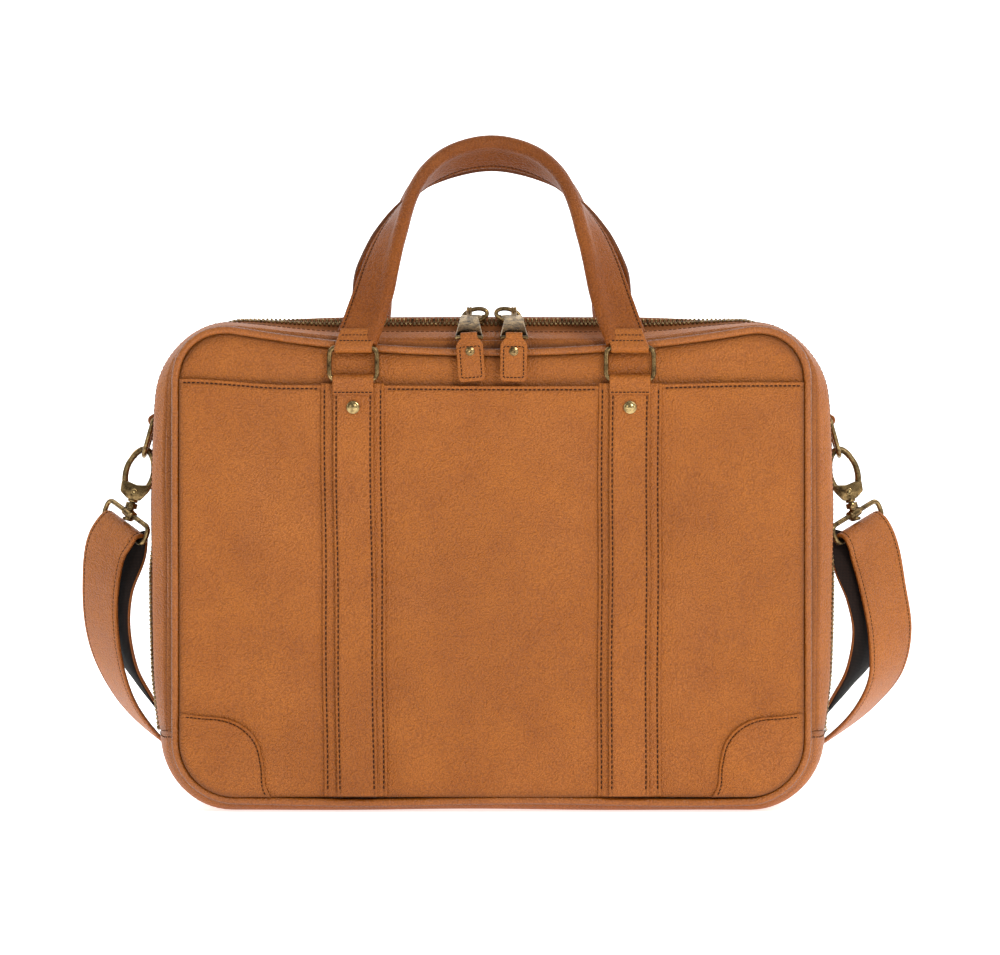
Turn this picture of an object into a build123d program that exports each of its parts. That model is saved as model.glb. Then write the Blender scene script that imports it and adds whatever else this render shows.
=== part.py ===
"""Leather laptop briefcase, about 16 inch size.

Frame: origin at the centre of the base, on the floor. +X runs along the width,
+Z is up and the front faces -Y. All lengths are millimetres.

The zip runs round the sides and the top. Below its two ends the front half is
sewn to the bottom gusset, and there it swings open like a lid.
"""
from build123d import *
import math
import os

os.makedirs("parts", exist_ok=True)

# ---- body ----------------------------------------------------------------
PANEL_HALF = 190.0          # panel seam line, half width
PANEL_LOW = 6.5             # panel seam line above the floor
PANEL_CORNER_Z = 296.0      # where the top edge would meet the sides without its round corners
PANEL_MID_Z = 276.0         # middle of the sagging top edge
CORNER_R = 36.0
CREST_HALF = 205.0          # widest line of the gusset
CREST_Z = 297.0             # top of the gusset
ZIP_Y = -10.0               # the zip lies a little in front of the middle
ZIP_END_Z = 48.0            # the zip ends here on both sides
SEAM_Y = 44.5               # piping centre, front and back
GUSSET_EDGE_Y = 41.5
GUSSET_T = 2.4
PIPING_R = 2.5

# ---- layers, measured outwards from the middle of the bag -----------------
LINING = (41.7, 42.2)
PADDING = (42.4, 44.4)
PANEL = (44.6, 46.0)
POCKET = (46.3, 48.0)
UNDER_STRIP = (48.2, 49.4)
HANDLE_STRAP = (49.6, 51.2)
POCKET_TOP = 257.0
STRAP_X = 83.0              # centre of each handle strap
UNDER_STRIP_W = 38.0
HANDLE_STRAP_W = 24.4
RIVET_Z = 243.0
RIVET_R = 4.0

# ---- handle and its rings --------------------------------------------------
RING_Y = (HANDLE_STRAP[0] + HANDLE_STRAP[1]) / 2
RING_LOW_Z = 259.5
RING_TOP_Z = 279.0
RING_W = 28.6
RING_WIRE = 1.4
RING_CORNER = 2.5
RUN_CLEAR = 0.06            # shaft to bore, on the radius
LOOP_OUTER = 2.8
LOOP_W = 22.4
HANDLE_W = 25.0
HANDLE_T = 5.0
HANDLE_LEAN = math.radians(17.0)
HANDLE_TWIST = math.radians(27.0)
HANDLE_HALF = [(-80.0, 286.0), (-75.0, 299.0), (-69.5, 316.0), (-64.5, 334.0), (-57.5, 353.0),
               (-48.0, 371.0), (-35.5, 386.0), (-19.0, 395.5)]
HANDLE_TOP = (0.0, 398.5)

# ---- zip -------------------------------------------------------------------
TEETH_W = 2.25
TEETH_GAP = 0.15
TAPE_W = 4.8
SLIDER_X = 13.5
SLIDER_Z = CREST_Z + 1.2
BAIL = (ZIP_Y - 5.5, CREST_Z + 4.9)
PULL_END = (-52.0, 285.0)
TAB_BOTTOM = 258.5
TAB_W = 16.2
TAB_NECK_W = 9.6
TAB_T = 2.8
TAB_R = 3.0
TAB_SHOULDER = 5.5          # below the bar
TAB_RIVET_R = 2.8
PULL_EYE_W = 6.4
PULL_END_W = 15.6
PULL_T = 1.6
PULL_WINDOW = (11.4, 7.2)
SLIDER_HALF = 6.0
SLIDER_PLATE = 1.2
SLIDER_FRONT = ZIP_Y - 5.5
SLIDER_BACK = ZIP_Y + 5.0
EAR_IN = 3.6
EAR_OUT = 5.5
EAR_R = 1.3
PIN_R = 1.0

# ---- side rings, hooks and shoulder strap ----------------------------------
SIDE_Y = 15.0
D_BAR = (-206.6, 236.0)
HOOK_FOOT = (-221.0, 182.5)
HOOK_TILT = 15.0
HOOK_WIRE = 1.6
D_WIRE = 1.25
STRAP_W = 38.0
STRAP_T = 2.8
FOLD_R = 4.3

# Shoulder strap, from under each ring to the middle of the floor behind the bag:
# x, y, z of the centre line, then the x and z parts of the width direction.
STRAP_LEFT = [
    (-236.0, 17.5, 159.0, -0.64, 0.34),
    (-240.0, 20.0, 133.0, -0.62, 0.14),
    (-239.5, 26.0, 107.0, -0.56, 0.0),
    (-235.0, 35.0, 84.0, -0.46, 0.0),
    (-225.0, 47.0, 61.0, -0.3, 0.0),
    (-207.0, 68.0, 39.0, -0.13, 0.0),
    (-184.0, 77.0, 25.0, -0.05, 0.0),
    (-161.0, 80.0, 12.5, 0.0, 0.0),
    (-134.0, 81.0, 4.5, 0.0, 0.0),
    (-105.0, 81.0, 1.9, 0.0, 0.0),
    (-60.0, 81.0, 1.45, 0.0, 0.0),
]
STRAP_RIGHT = [
    (234.0, 17.5, 158.0, 0.77, 0.32),
    (240.5, 20.0, 131.0, 0.76, 0.12),
    (245.0, 26.0, 104.0, 0.72, 0.0),
    (243.0, 35.0, 80.0, 0.56, 0.0),
    (231.0, 47.0, 59.0, 0.34, 0.0),
    (209.0, 68.0, 38.0, 0.14, 0.0),
    (186.0, 77.0, 25.0, 0.05, 0.0),
    (162.0, 80.0, 12.5, 0.0, 0.0),
    (134.0, 81.0, 4.5, 0.0, 0.0),
    (105.0, 81.0, 1.9, 0.0, 0.0),
    (60.0, 81.0, 1.45, 0.0, 0.0),
]
# The end that comes back from each ring to its slide buckle.
RETURN_LEFT = [
    (-221.0, 18.5, 156.0, -0.56, 0.34),
    (-225.0, 20.0, 134.0, -0.46, 0.12),
    (-225.0, 27.0, 112.0, -0.32, 0.0),
    (-218.0, 40.0, 88.0, -0.2, 0.0),
    (-207.0, 57.0, 68.0, -0.12, 0.0),
    (-194.0, 74.0, 49.0, -0.06, 0.0),
]
RETURN_RIGHT = [
    (222.0, 17.0, 154.0, 0.76, 0.32),
    (227.0, 20.0, 131.0, 0.7, 0.12),
    (228.5, 27.0, 109.0, 0.58, 0.0),
    (221.0, 41.0, 86.0, 0.4, 0.0),
    (209.0, 58.0, 67.0, 0.2, 0.0),
    (196.0, 74.0, 49.0, 0.1, 0.0),
]
RING_BAR_LEFT = (-0.60, 0.40)       # x and z parts of the strap ring's bar direction
RING_BAR_RIGHT = (0.67, 0.38)
STRAP_RING_W = 44.6
STRAP_RING_H = 11.6
STRAP_RING_WIRE = 1.4
STRAP_RING_CORNER = 2.6
STRAP_MIDDLE = (0.0, 81.0, 1.45)
BUCKLE_W = 46.0             # three-bar slide on the strap
BUCKLE_H = 24.0
BUCKLE_RIM = 3.0
BUCKLE_BAR = 3.4
BUCKLE_T = 2.2
BUCKLE_LIFT = 2.6           # from the strap's upper face to the buckle's middle
BOW_R = 5.6                 # snap hook, measured up from its foot
BOW_TOP = 28.4
BOW_TIP = 26.2
BLOCK_LOW = 5.0
BLOCK_TOP = 14.5
BLOCK_HALF = 8.0
BLOCK_DEPTH = 5.2
GATE_PIVOT = (-5.6, 11.5)
GATE_R = 1.1
GATE_LENGTH = 12.6
SHANK_R = 1.8
COLLAR_R = 3.2
NUT_R = 3.7
D_RING_W = 20.0
D_TAB_W = 14.8
D_TAB_TOP = 256.0
D_RING_HANG = 29.6          # where the D-ring rests in the bow


# ---- helpers ---------------------------------------------------------------
def export(node, *solids):
    """Write one node's solids to its own file."""
    shape = solids[0] if len(solids) == 1 else Compound(children=list(solids))
    export_step(shape, f"parts/{node}.step")


def block(x0, x1, y0, y1, z0, z1):
    """A box between two corners."""
    return Pos((x0 + x1) / 2, (y0 + y1) / 2, (z0 + z1) / 2) * Box(abs(x1 - x0), abs(y1 - y0), abs(z1 - z0))


def mirror_x(shape):
    return mirror(shape, about=Plane.YZ)


def mirror_y(shape):
    return mirror(shape, about=Plane.XZ)


def at_y(y):
    """The plane at depth y, with X to the right and Z up."""
    return Plane.XZ.offset(-y)


def outline(half, end_in, low, corner_z, mid_z, r_low, r_top, inset=0.0):
    """Flat outline: straight base, barrel sides and a bowed top, with round corners."""
    end = half - end_in - inset
    base = low + inset
    corner = corner_z - inset
    waist = base + (corner - base) * 0.45
    edges = [Line((-end, base), (end, base)),
             ThreePointArc((end, base), (half - inset, waist), (end, corner)),
             ThreePointArc((end, corner), (0, mid_z - inset), (-end, corner)),
             ThreePointArc((-end, corner), (inset - half, waist), (-end, base))]
    face = make_face(edges)
    low_pair = [v for v in face.vertices() if v.Y < waist]
    face = fillet(low_pair, r_low - inset)
    top_pair = [v for v in face.vertices() if v.Y > waist and abs(abs(v.X) - end) < 0.01]
    return fillet(top_pair, r_top - inset)


def panel_outline(inset=0.0):
    """Outline of the front and back panels, whose top edge sags in the middle."""
    return outline(PANEL_HALF, 0.4, PANEL_LOW, PANEL_CORNER_Z, PANEL_MID_Z, CORNER_R, CORNER_R, inset)


# depth, half width, narrowing at the ends, base, top corner, top middle, radii
GUSSET_STATIONS = [(-GUSSET_EDGE_Y, PANEL_HALF, 0.5, 5.0, 295.5, 276.5, 36.0, 36.0),
                   (-28.0, 200.0, 4.0, 0.0, 296.5, 290.0, 42.0, 42.0),
                   (ZIP_Y, CREST_HALF, 7.0, 0.0, 295.0, CREST_Z, 47.0, 47.0),
                   (12.0, CREST_HALF - 0.6, 6.5, 0.0, 295.0, CREST_Z - 0.2, 47.0, 46.0),
                   (28.0, 200.0, 4.0, 0.0, 296.5, 291.5, 42.0, 42.0),
                   (GUSSET_EDGE_Y, PANEL_HALF, 0.5, 5.0, 295.5, 276.5, 36.0, 36.0)]


def gusset_body(inset):
    """The closed convex body whose skin the gusset follows."""
    wires = []
    for y, *shape in GUSSET_STATIONS:
        face = at_y(y) * outline(*shape, inset=inset)
        wires.append(face.wire())
    return Solid.make_loft(wires, ruled=True)


def gusset_shell(inset, thickness):
    return gusset_body(inset) - gusset_body(inset + thickness)


def cut(shape, y0, y1, z0=-5.0, z1=400.0):
    """The part of a shape between two depths and two heights."""
    return shape & block(-300, 300, y0, y1, z0, z1)


def plate(face, side, layer):
    """A flat sheet of one layer on the front (-1) or back (+1)."""
    return extrude(at_y(side * layer[0]) * face, layer[1] - layer[0], dir=(0, side, 0))


def ring_sweep(plane, width, height, corner, wire):
    """A closed wire ring with round corners, centred on the plane's origin."""
    path = (plane * RectangleRounded(width, height, corner)).wire()
    return sweep(Plane(origin=path @ 0, z_dir=path % 0) * Circle(wire), path=path)


def ribbon(points, widths, width, thickness):
    """A flat band through the points, whose faces turn with the width directions."""
    sections = []
    for i, p in enumerate(points):
        before = points[max(i - 1, 0)]
        after = points[min(i + 1, len(points) - 1)]
        tangent = (after - before).normalized()
        across = widths[i] - tangent * widths[i].dot(tangent)
        sections.append((Plane(origin=p, x_dir=across, z_dir=tangent) * Rectangle(width, thickness)).wire())
    return Solid.make_loft(sections, ruled=True)


# ---- panels, gussets and lining --------------------------------------------
def body_pieces(side, name):
    """Panel, padding, lining and piping of the front (-1) or back (+1) half."""
    export(f"{name}_panel", plate(panel_outline(PIPING_R + 0.4), side, PANEL))
    export(f"{name}_padding", plate(panel_outline(6.0), side, PADDING))
    export(f"{name}_lining", plate(panel_outline(6.0), side, LINING))
    path = (at_y(side * SEAM_Y) * panel_outline()).wire()
    start = Plane(origin=path @ 0, z_dir=path % 0)
    export(f"{name}_piping", sweep(start * Circle(PIPING_R), path=path))


def gussets():
    """The zip gusset in two halves, the bottom gusset and the gusset's lining."""
    leather = gusset_shell(0.0, GUSSET_T)
    fabric = gusset_shell(GUSSET_T + 0.2, 0.5)
    front = (-GUSSET_EDGE_Y, ZIP_Y - TEETH_W - TEETH_GAP - TAPE_W)
    back = (ZIP_Y + TEETH_W + TEETH_GAP + TAPE_W, GUSSET_EDGE_Y)
    export("gusset_front", cut(leather, *front, ZIP_END_Z + 0.4))
    export("gusset_back", cut(leather, *back, ZIP_END_Z + 0.4))
    export("gusset_bottom", cut(leather, -GUSSET_EDGE_Y, GUSSET_EDGE_Y, -5, ZIP_END_Z))
    export("gusset_lining_front", cut(fabric, *front, ZIP_END_Z + 0.4))
    export("gusset_lining_back", cut(fabric, *back, ZIP_END_Z + 0.4))


def zip_chain():
    """Tape and tooth row on each side of the zip line."""
    tape = gusset_shell(0.7, 0.8)
    teeth = gusset_shell(-0.4, 2.6)
    for side, name in ((-1, "front"), (1, "back")):
        near = ZIP_Y + side * TEETH_GAP
        mid = near + side * TEETH_W
        far = mid + side * TAPE_W
        export(f"zip_teeth_{name}", cut(teeth, min(near, mid), max(near, mid), ZIP_END_Z + 0.4))
        export(f"zip_tape_{name}", cut(tape, min(mid, far), max(mid, far), ZIP_END_Z + 0.4))


def inside_pieces():
    """Base board, laptop divider with its strap, and the organiser pocket."""
    export("base_board", block(-148, 148, -27, 26, 2.8, 4.8))
    export("laptop_divider", block(-165, 165, 27.5, 30.5, 9.0, 235.0))
    strap = block(-20, 20, 31.0, 40.8, 238.0, 239.4)
    hook_tab = block(-20, 20, 25.8, 27.2, 205.0, 239.4)
    bridge = block(-20, 20, 27.2, 31.0, 238.0, 239.4)
    export("divider_strap", strap + bridge + hook_tab)
    export("organiser_pocket", block(-120, 120, -41.4, -40.2, 40.0, 190.0))


def corner_patch(side, inset):
    """One reinforcing patch in the lower left corner, with an ogee inner edge."""
    left = -(PANEL_HALF - inset)
    base = PANEL_LOW + inset
    edges = [Line((left, base), (left, base + 52)),
             Line((left, base + 52), (left + 21, base + 51)),
             ThreePointArc((left + 21, base + 51), (left + 45, base + 38.5), (left + 51.5, base + 14)),
             Line((left + 51.5, base + 14), (left + 54, base)),
             Line((left + 54, base), (left, base))]
    return plate(make_face(edges) & panel_outline(inset), side, UNDER_STRIP)


def strap_loop_profile(top_down):
    """Section of a leather loop round a ring's bar, with its tongue; bar at the origin."""
    half_t = (HANDLE_STRAP[1] - HANDLE_STRAP[0]) / 2
    tongue = Pos(0, top_down * 2.6) * Rectangle(2 * half_t, 5.2)
    return Circle(LOOP_OUTER) + tongue - Circle(RING_WIRE + RUN_CLEAR)


def outer_layers(side, name):
    """Under strips, handle straps, rivets and corner patches of one face."""
    inset = PIPING_R + 0.4
    base = PANEL_LOW + inset
    xs = (-STRAP_X, STRAP_X)
    top = POCKET_TOP - 1.0
    strip = Rectangle(UNDER_STRIP_W, top - base)
    under = [plate(Pos(x, (base + top) / 2) * strip, side, UNDER_STRIP) for x in xs]
    export(f"under_strips_{name}", *under)
    patch = corner_patch(side, inset)
    export(f"corner_patches_{name}", patch, mirror_x(patch))
    for x, hand in zip(xs, ("left", "right")):
        strap_top = RING_LOW_Z - 2.0
        outline = Pos(x, (base + strap_top) / 2) * Rectangle(HANDLE_STRAP_W, strap_top - base)
        strap = plate(outline, side, HANDLE_STRAP)
        loop_start = (x - LOOP_W / 2, side * RING_Y, RING_LOW_Z)
        loop_plane = Plane(origin=loop_start, x_dir=(0, 1, 0), z_dir=(1, 0, 0))
        loop = extrude(loop_plane * strap_loop_profile(-1), LOOP_W)
        export(f"handle_strap_{name}_{hand}", strap + loop)
    face_y = side * (HANDLE_STRAP[1] + 0.1)
    cap = Cylinder(RIVET_R, 1.0) + Pos(0, 0, 1.0) * Cone(RIVET_R, RIVET_R * 0.55, 1.0)
    turn = Rot(90, 0, 0) if side < 0 else Rot(-90, 0, 0)
    rivets = [Pos(x, face_y + side * 0.5, RIVET_Z) * turn * cap for x in xs]
    export(f"rivets_{name}", *rivets)


# ---- handles ---------------------------------------------------------------
def handle_band():
    """Twisting padded band of the front handle, between its two end loops."""
    half = HANDLE_HALF
    full = half + [HANDLE_TOP] + [(-x, z) for x, z in reversed(half)]
    points = []
    widths = []
    for i, (x, z) in enumerate(full):
        points.append(Vector(x, -RING_Y + (z - RING_TOP_Z) * math.tan(HANDLE_LEAN), z))
        turn = min(max((z - 320.0) / (HANDLE_TOP[1] - 320.0), 0.0), 1.0)
        side = 1 if x <= 0 else -1
        flat = side * (1 - turn)
        widths.append(Vector(flat, -turn * math.cos(HANDLE_TWIST), turn * math.sin(HANDLE_TWIST)))
    return ribbon(points, widths, HANDLE_W, HANDLE_T)


def handles():
    """Handle rings and handles, front, then mirrored to the back."""
    band = handle_band()
    rings = []
    for x in (-STRAP_X, STRAP_X):
        centre = Plane(origin=(x, -RING_Y, (RING_LOW_Z + RING_TOP_Z) / 2), x_dir=(1, 0, 0), z_dir=(0, -1, 0))
        rings.append(ring_sweep(centre, RING_W, RING_TOP_Z - RING_LOW_Z, RING_CORNER, RING_WIRE))
        loop_plane = Plane(origin=(x - LOOP_W / 2, -RING_Y, RING_TOP_Z), x_dir=(0, 1, 0), z_dir=(1, 0, 0))
        tongue = Pos(0, 5.0) * Rectangle(2.6, 8.0)
        loop = extrude(loop_plane * (Circle(LOOP_OUTER) + tongue - Circle(RING_WIRE + RUN_CLEAR)), LOOP_W)
        band = band + loop
    export("handle_rings_front", *rings)
    export("handle_rings_back", *[mirror_y(r) for r in rings])
    export("handle_front", band)
    export("handle_back", mirror_y(band))


# ---- zip sliders and pulls -------------------------------------------------
def slider(x):
    """Slider body: crown plate over both tooth rows, front flange and the bail."""
    low, high = x - SLIDER_HALF, x + SLIDER_HALF
    crown = block(low, high, SLIDER_FRONT, SLIDER_BACK, SLIDER_Z, SLIDER_Z + SLIDER_PLATE)
    flange = block(low, high, SLIDER_FRONT, SLIDER_FRONT + SLIDER_PLATE, SLIDER_Z - 1.0, SLIDER_Z)
    pin_half = (EAR_IN + EAR_OUT) / 2
    axis = Plane(origin=(x - pin_half, *BAIL), x_dir=(0, 1, 0), z_dir=(1, 0, 0))
    pin = extrude(axis * Circle(PIN_R), 2 * pin_half)
    ear_y = (BAIL[0] - EAR_R, BAIL[0] + EAR_R)
    ears = block(x - EAR_OUT, x - EAR_IN, *ear_y, SLIDER_Z, BAIL[1] + EAR_R)
    ears += block(x + EAR_IN, x + EAR_OUT, *ear_y, SLIDER_Z, BAIL[1] + EAR_R)
    return crown + flange + pin + ears


def puller(x):
    """Metal pull: an eye on the bail, a widening plate and a bar for the leather tab."""
    dy = PULL_END[0] - BAIL[0]
    dz = PULL_END[1] - BAIL[1]
    length = math.hypot(dy, dz)
    plane = Plane(origin=(x, *BAIL), x_dir=(1, 0, 0), z_dir=(0, -dz, dy))
    eye_half = PULL_EYE_W / 2
    end_half = PULL_END_W / 2
    shoulder = length - 9.0
    end = length + 0.8
    shape = make_face(Polyline((-eye_half, 0.9), (eye_half, 0.9), (end_half, shoulder), (end_half, end),
                               (-end_half, end), (-end_half, shoulder), (-eye_half, 0.9)))
    window = Pos(0, length - 2.6) * Rectangle(*PULL_WINDOW)
    sheet = extrude(plane * (shape - window), PULL_T / 2, both=True)
    side_plane = Plane(origin=(x - eye_half, *BAIL), x_dir=(0, 1, 0), z_dir=(1, 0, 0))
    eye = extrude(side_plane * Circle(1.9), PULL_EYE_W)
    bore = extrude(side_plane * Circle(PIN_R + RUN_CLEAR), PULL_EYE_W)
    bar_half = PULL_END_W / 2 - 1.4
    bar_plane = Plane(origin=(x - bar_half, *PULL_END), x_dir=(0, 1, 0), z_dir=(1, 0, 0))
    bar = extrude(bar_plane * Circle(PIN_R), 2 * bar_half)
    return sheet + eye - bore + bar


def pull_tab(x):
    """Leather tab, folded round the pull's bar, with chamfered shoulders."""
    y, z = PULL_END
    neck_half = TAB_NECK_W / 2
    half = TAB_W / 2
    shoulder = z - TAB_SHOULDER
    right = ((neck_half, z - 1.5), (half, shoulder), (half, TAB_BOTTOM))
    left = ((-half, TAB_BOTTOM), (-half, shoulder), (-neck_half, z - 1.5))
    shape = make_face(Polyline(left[-1], *right, *left))
    low = [v for v in shape.vertices() if v.Y < TAB_BOTTOM + 1]
    shape = fillet(low, TAB_R)
    body = extrude(at_y(y + TAB_T / 2) * (Pos(x, 0) * shape), TAB_T, dir=(0, -1, 0))
    neck_plane = Plane(origin=(x - neck_half, y, z), x_dir=(0, 1, 0), z_dir=(1, 0, 0))
    neck = extrude(neck_plane * (Circle(2.3) - Circle(PIN_R + RUN_CLEAR)), TAB_NECK_W)
    return body + neck


def zip_pulls():
    for sign, hand in ((-1, "left"), (1, "right")):
        x = sign * SLIDER_X
        export(f"zip_slider_{hand}", slider(x))
        export(f"zip_puller_{hand}", puller(x))
        export(f"pull_tab_{hand}", pull_tab(x))
        rivet = Rot(90, 0, 0) * Cylinder(TAB_RIVET_R, 0.8)
        rivet = Pos(x, PULL_END[0] - TAB_T / 2 - 0.4, PULL_END[1] - 8.5) * rivet
        export(f"tab_rivet_{hand}", rivet)


# ---- side rings and snap hooks ---------------------------------------------
def d_ring():
    """Left D-ring: the bar in the tab's loop, hanging to the hook's bow."""
    hang = hook_point(0.0, D_RING_HANG)
    bar = Vector(D_BAR[0], SIDE_Y, D_BAR[1])
    down = (hang - bar).normalized()
    height = (hang - bar).length
    plane = Plane(origin=bar, x_dir=(0, 1, 0), z_dir=down.cross(Vector(0, 1, 0)))
    sign = 1 if plane.y_dir.dot(down) > 0 else -1
    h = sign * height
    half = D_RING_W / 2
    outline_edges = Polyline((-half, 0), (half, 0), (half, h), (-half, h), (-half, 0))
    face = make_face(outline_edges)
    face = fillet([v for v in face.vertices() if abs(v.Y) < 1], 2.2)
    face = fillet([v for v in face.vertices() if abs(v.Y - h) < 0.01], 7.0)
    path = (plane * face).wire()
    return sweep(Plane(origin=path @ 0, z_dir=path % 0) * Circle(D_WIRE), path=path)


def d_ring_tab():
    """Left leather tab: a loop round the ring's bar and a foot sewn to the gusset."""
    profile = Circle(2.6) + Pos(3.0, 1.3) * Rectangle(6.0, 2.6) - Circle(D_WIRE + RUN_CLEAR)
    plane = Plane(origin=(D_BAR[0], SIDE_Y + D_TAB_W / 2, D_BAR[1]), x_dir=(1, 0, 0), z_dir=(0, -1, 0))
    loop = extrude(plane * profile, D_TAB_W)
    foot = block(-205.5, -190.0, SIDE_Y - D_TAB_W / 2, SIDE_Y + D_TAB_W / 2, D_BAR[1] + 0.2, D_TAB_TOP)
    foot = foot & (gusset_body(-1.6) - gusset_body(-0.2))
    return (loop - gusset_body(-0.2)) + foot


def hook_frame():
    """Placement of the left hook: its foot at the swivel, leaning in towards the bag."""
    return Pos(HOOK_FOOT[0], SIDE_Y, HOOK_FOOT[1]) * Rot(0, HOOK_TILT, 0)


def hook_point(x, z):
    """A point of the left hook's own XZ plane, in the bag's frame."""
    turn = math.radians(HOOK_TILT)
    return Vector(HOOK_FOOT[0] + x * math.cos(turn) + z * math.sin(turn), SIDE_Y,
                  HOOK_FOOT[1] - x * math.sin(turn) + z * math.cos(turn))


def snap_hook():
    """Bow, base block and shank of the left hook, standing on its foot."""
    path = Wire([Line((BOW_R, 0, 13), (BOW_R, 0, BOW_TOP)).edge(),
                 ThreePointArc((BOW_R, 0, BOW_TOP), (0, 0, BOW_TOP + BOW_R), (-BOW_R, 0, BOW_TOP)).edge(),
                 Line((-BOW_R, 0, BOW_TOP), (-BOW_R, 0, BOW_TIP)).edge()])
    bow = sweep(Plane(origin=(BOW_R, 0, 13), z_dir=(0, 0, 1)) * Circle(HOOK_WIRE), path=path)
    deep = BLOCK_DEPTH / 2
    base = block(-BLOCK_HALF, BLOCK_HALF, -deep, deep, BLOCK_LOW, BLOCK_TOP)
    base = fillet(base.edges().filter_by(Axis.Y), 2.2)
    slot = block(-9.0, -3.4, -1.25, 1.25, 9.6, 15.0)
    shank = Pos(0, 0, 2.7) * Cylinder(SHANK_R, 6.0)
    collar = Pos(0, 0, 4.5) * Cylinder(COLLAR_R, 1.4)
    gate_pin = Pos(GATE_PIVOT[0], 0, GATE_PIVOT[1]) * Rot(90, 0, 0) * Cylinder(PIN_R, 5.6)
    return hook_frame() * (base - slot + bow + shank + collar + gate_pin)


def hook_gate():
    """Spring gate of the left hook, turning on the pin in its base."""
    pivot = Pos(GATE_PIVOT[0], 0, GATE_PIVOT[1])
    foot = pivot * Rot(90, 0, 0) * Cylinder(1.75, 2.3)
    finger = pivot * Pos(0, 0, 7.5) * Cylinder(GATE_R, GATE_LENGTH)
    bore = pivot * Rot(90, 0, 0) * Cylinder(PIN_R + RUN_CLEAR, 3.0)
    return hook_frame() * (foot + finger - bore)


def bar_direction(parts):
    x, z = parts
    return Vector(x, math.sqrt(1 - x * x - z * z), z)


def strap_ring_frame(sign, parts):
    """Top bar centre, bar direction and hanging direction of one strap ring."""
    left = hook_point(0.0, -3.6)
    top = Vector(-sign * left.X, left.Y, left.Z)
    along = bar_direction(parts)
    down = Vector(sign * 0.28, 0.1, -0.95)
    down = (down - along * down.dot(along)).normalized()
    return top, along, down


def strap_ring(sign, parts):
    """Swivel nut and the rectangular wire ring that carries the shoulder strap."""
    top, along, down = strap_ring_frame(sign, parts)
    centre = top + down * (STRAP_RING_H / 2)
    plane = Plane(origin=centre, x_dir=along, z_dir=along.cross(down))
    ring = ring_sweep(plane, STRAP_RING_W, STRAP_RING_H, STRAP_RING_CORNER, STRAP_RING_WIRE)
    nut = Pos(0, 0, -1.2) * Cylinder(NUT_R, 8.4) - Pos(0, 0, 1.7) * Cylinder(SHANK_R + RUN_CLEAR, 4.4)
    nut = hook_frame() * nut
    return (nut if sign < 0 else mirror_x(nut)) + ring


def strap_bar(sign, parts):
    top, along, down = strap_ring_frame(sign, parts)
    return top + down * STRAP_RING_H, along, down


def strap_route(sign, parts, run, outward):
    """Fold over the ring's bar, then the listed run; outward picks the outer or inner ply."""
    angles = (90.0, 45.0, 0.0) if outward > 0 else (55.0, 15.0)
    bar, along, down = strap_bar(sign, parts)
    out = along.cross(down)
    out = out if out.X * sign > 0 else -out
    points = []
    widths = []
    for angle in angles:
        a = math.radians(angle)
        points.append(bar - down * (FOLD_R * math.sin(a)) + out * (FOLD_R * math.cos(a) * outward))
        widths.append(along)
    for x, y, z, wx, wz in run:
        points.append(Vector(x, y, z))
        widths.append(Vector(wx, math.sqrt(1 - wx * wx - wz * wz), wz))
    return points, widths


def shoulder_strap():
    """The long outer run over the floor, and the end that returns from each ring."""
    left_p, left_w = strap_route(-1, RING_BAR_LEFT, STRAP_LEFT, 1)
    right_p, right_w = strap_route(1, RING_BAR_RIGHT, STRAP_RIGHT, 1)
    centre = [Vector(*STRAP_MIDDLE)]
    points = left_p + centre + list(reversed(right_p))
    widths = left_w + [Vector(0, 1, 0)] + list(reversed(right_w))
    export("shoulder_strap", ribbon(points, widths, STRAP_W, STRAP_T))
    print("strap run", sum((b - a).length for a, b in zip(points, points[1:])))
    ends = ((-1, RING_BAR_LEFT, RETURN_LEFT, "left"), (1, RING_BAR_RIGHT, RETURN_RIGHT, "right"))
    for sign, parts, run, hand in ends:
        p, w = strap_route(sign, parts, run, -1)
        export(f"strap_return_{hand}", ribbon(p, w, STRAP_W, STRAP_T))
        print("return", hand, sum((b - a).length for a, b in zip(p, p[1:])))
        outer = STRAP_LEFT if sign < 0 else STRAP_RIGHT
        export(f"strap_slider_{hand}", slide_buckle(outer, run))


def slide_buckle(outer, run):
    """Three-bar slide that lies between the outer run and the returning end."""
    a = Vector(*outer[5][:3])
    b = Vector(*outer[6][:3])
    tangent = (b - a).normalized()
    across = Vector(0, 1, 0) - tangent * tangent.Y
    normal = tangent.cross(across).normalized()
    normal = normal if normal.Z > 0 else -normal
    middle = (a + b) * 0.5 + normal * (STRAP_T / 2 + BUCKLE_LIFT)
    plane = Plane(origin=middle, x_dir=across, z_dir=normal)
    window = RectangleRounded(BUCKLE_W - 2 * BUCKLE_RIM, BUCKLE_H - 2 * BUCKLE_RIM, 1.5)
    bar = Rectangle(BUCKLE_W - 2 * BUCKLE_RIM + 1.0, BUCKLE_BAR)
    frame = RectangleRounded(BUCKLE_W, BUCKLE_H, 3.0) - window + bar
    return extrude(plane * frame, BUCKLE_T / 2, both=True)


def sides():
    """D-rings, tabs, hooks, gates and strap rings, left, then mirrored to the right."""
    left = {
        "d_ring": d_ring(),
        "d_ring_tab": d_ring_tab(),
        "snap_hook": snap_hook(),
        "hook_gate": hook_gate(),
    }
    for name, shape in left.items():
        export(f"{name}_left", shape)
        export(f"{name}_right", mirror_x(shape))
    export("swivel_ring_left", strap_ring(-1, RING_BAR_LEFT))
    export("swivel_ring_right", strap_ring(1, RING_BAR_RIGHT))


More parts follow.
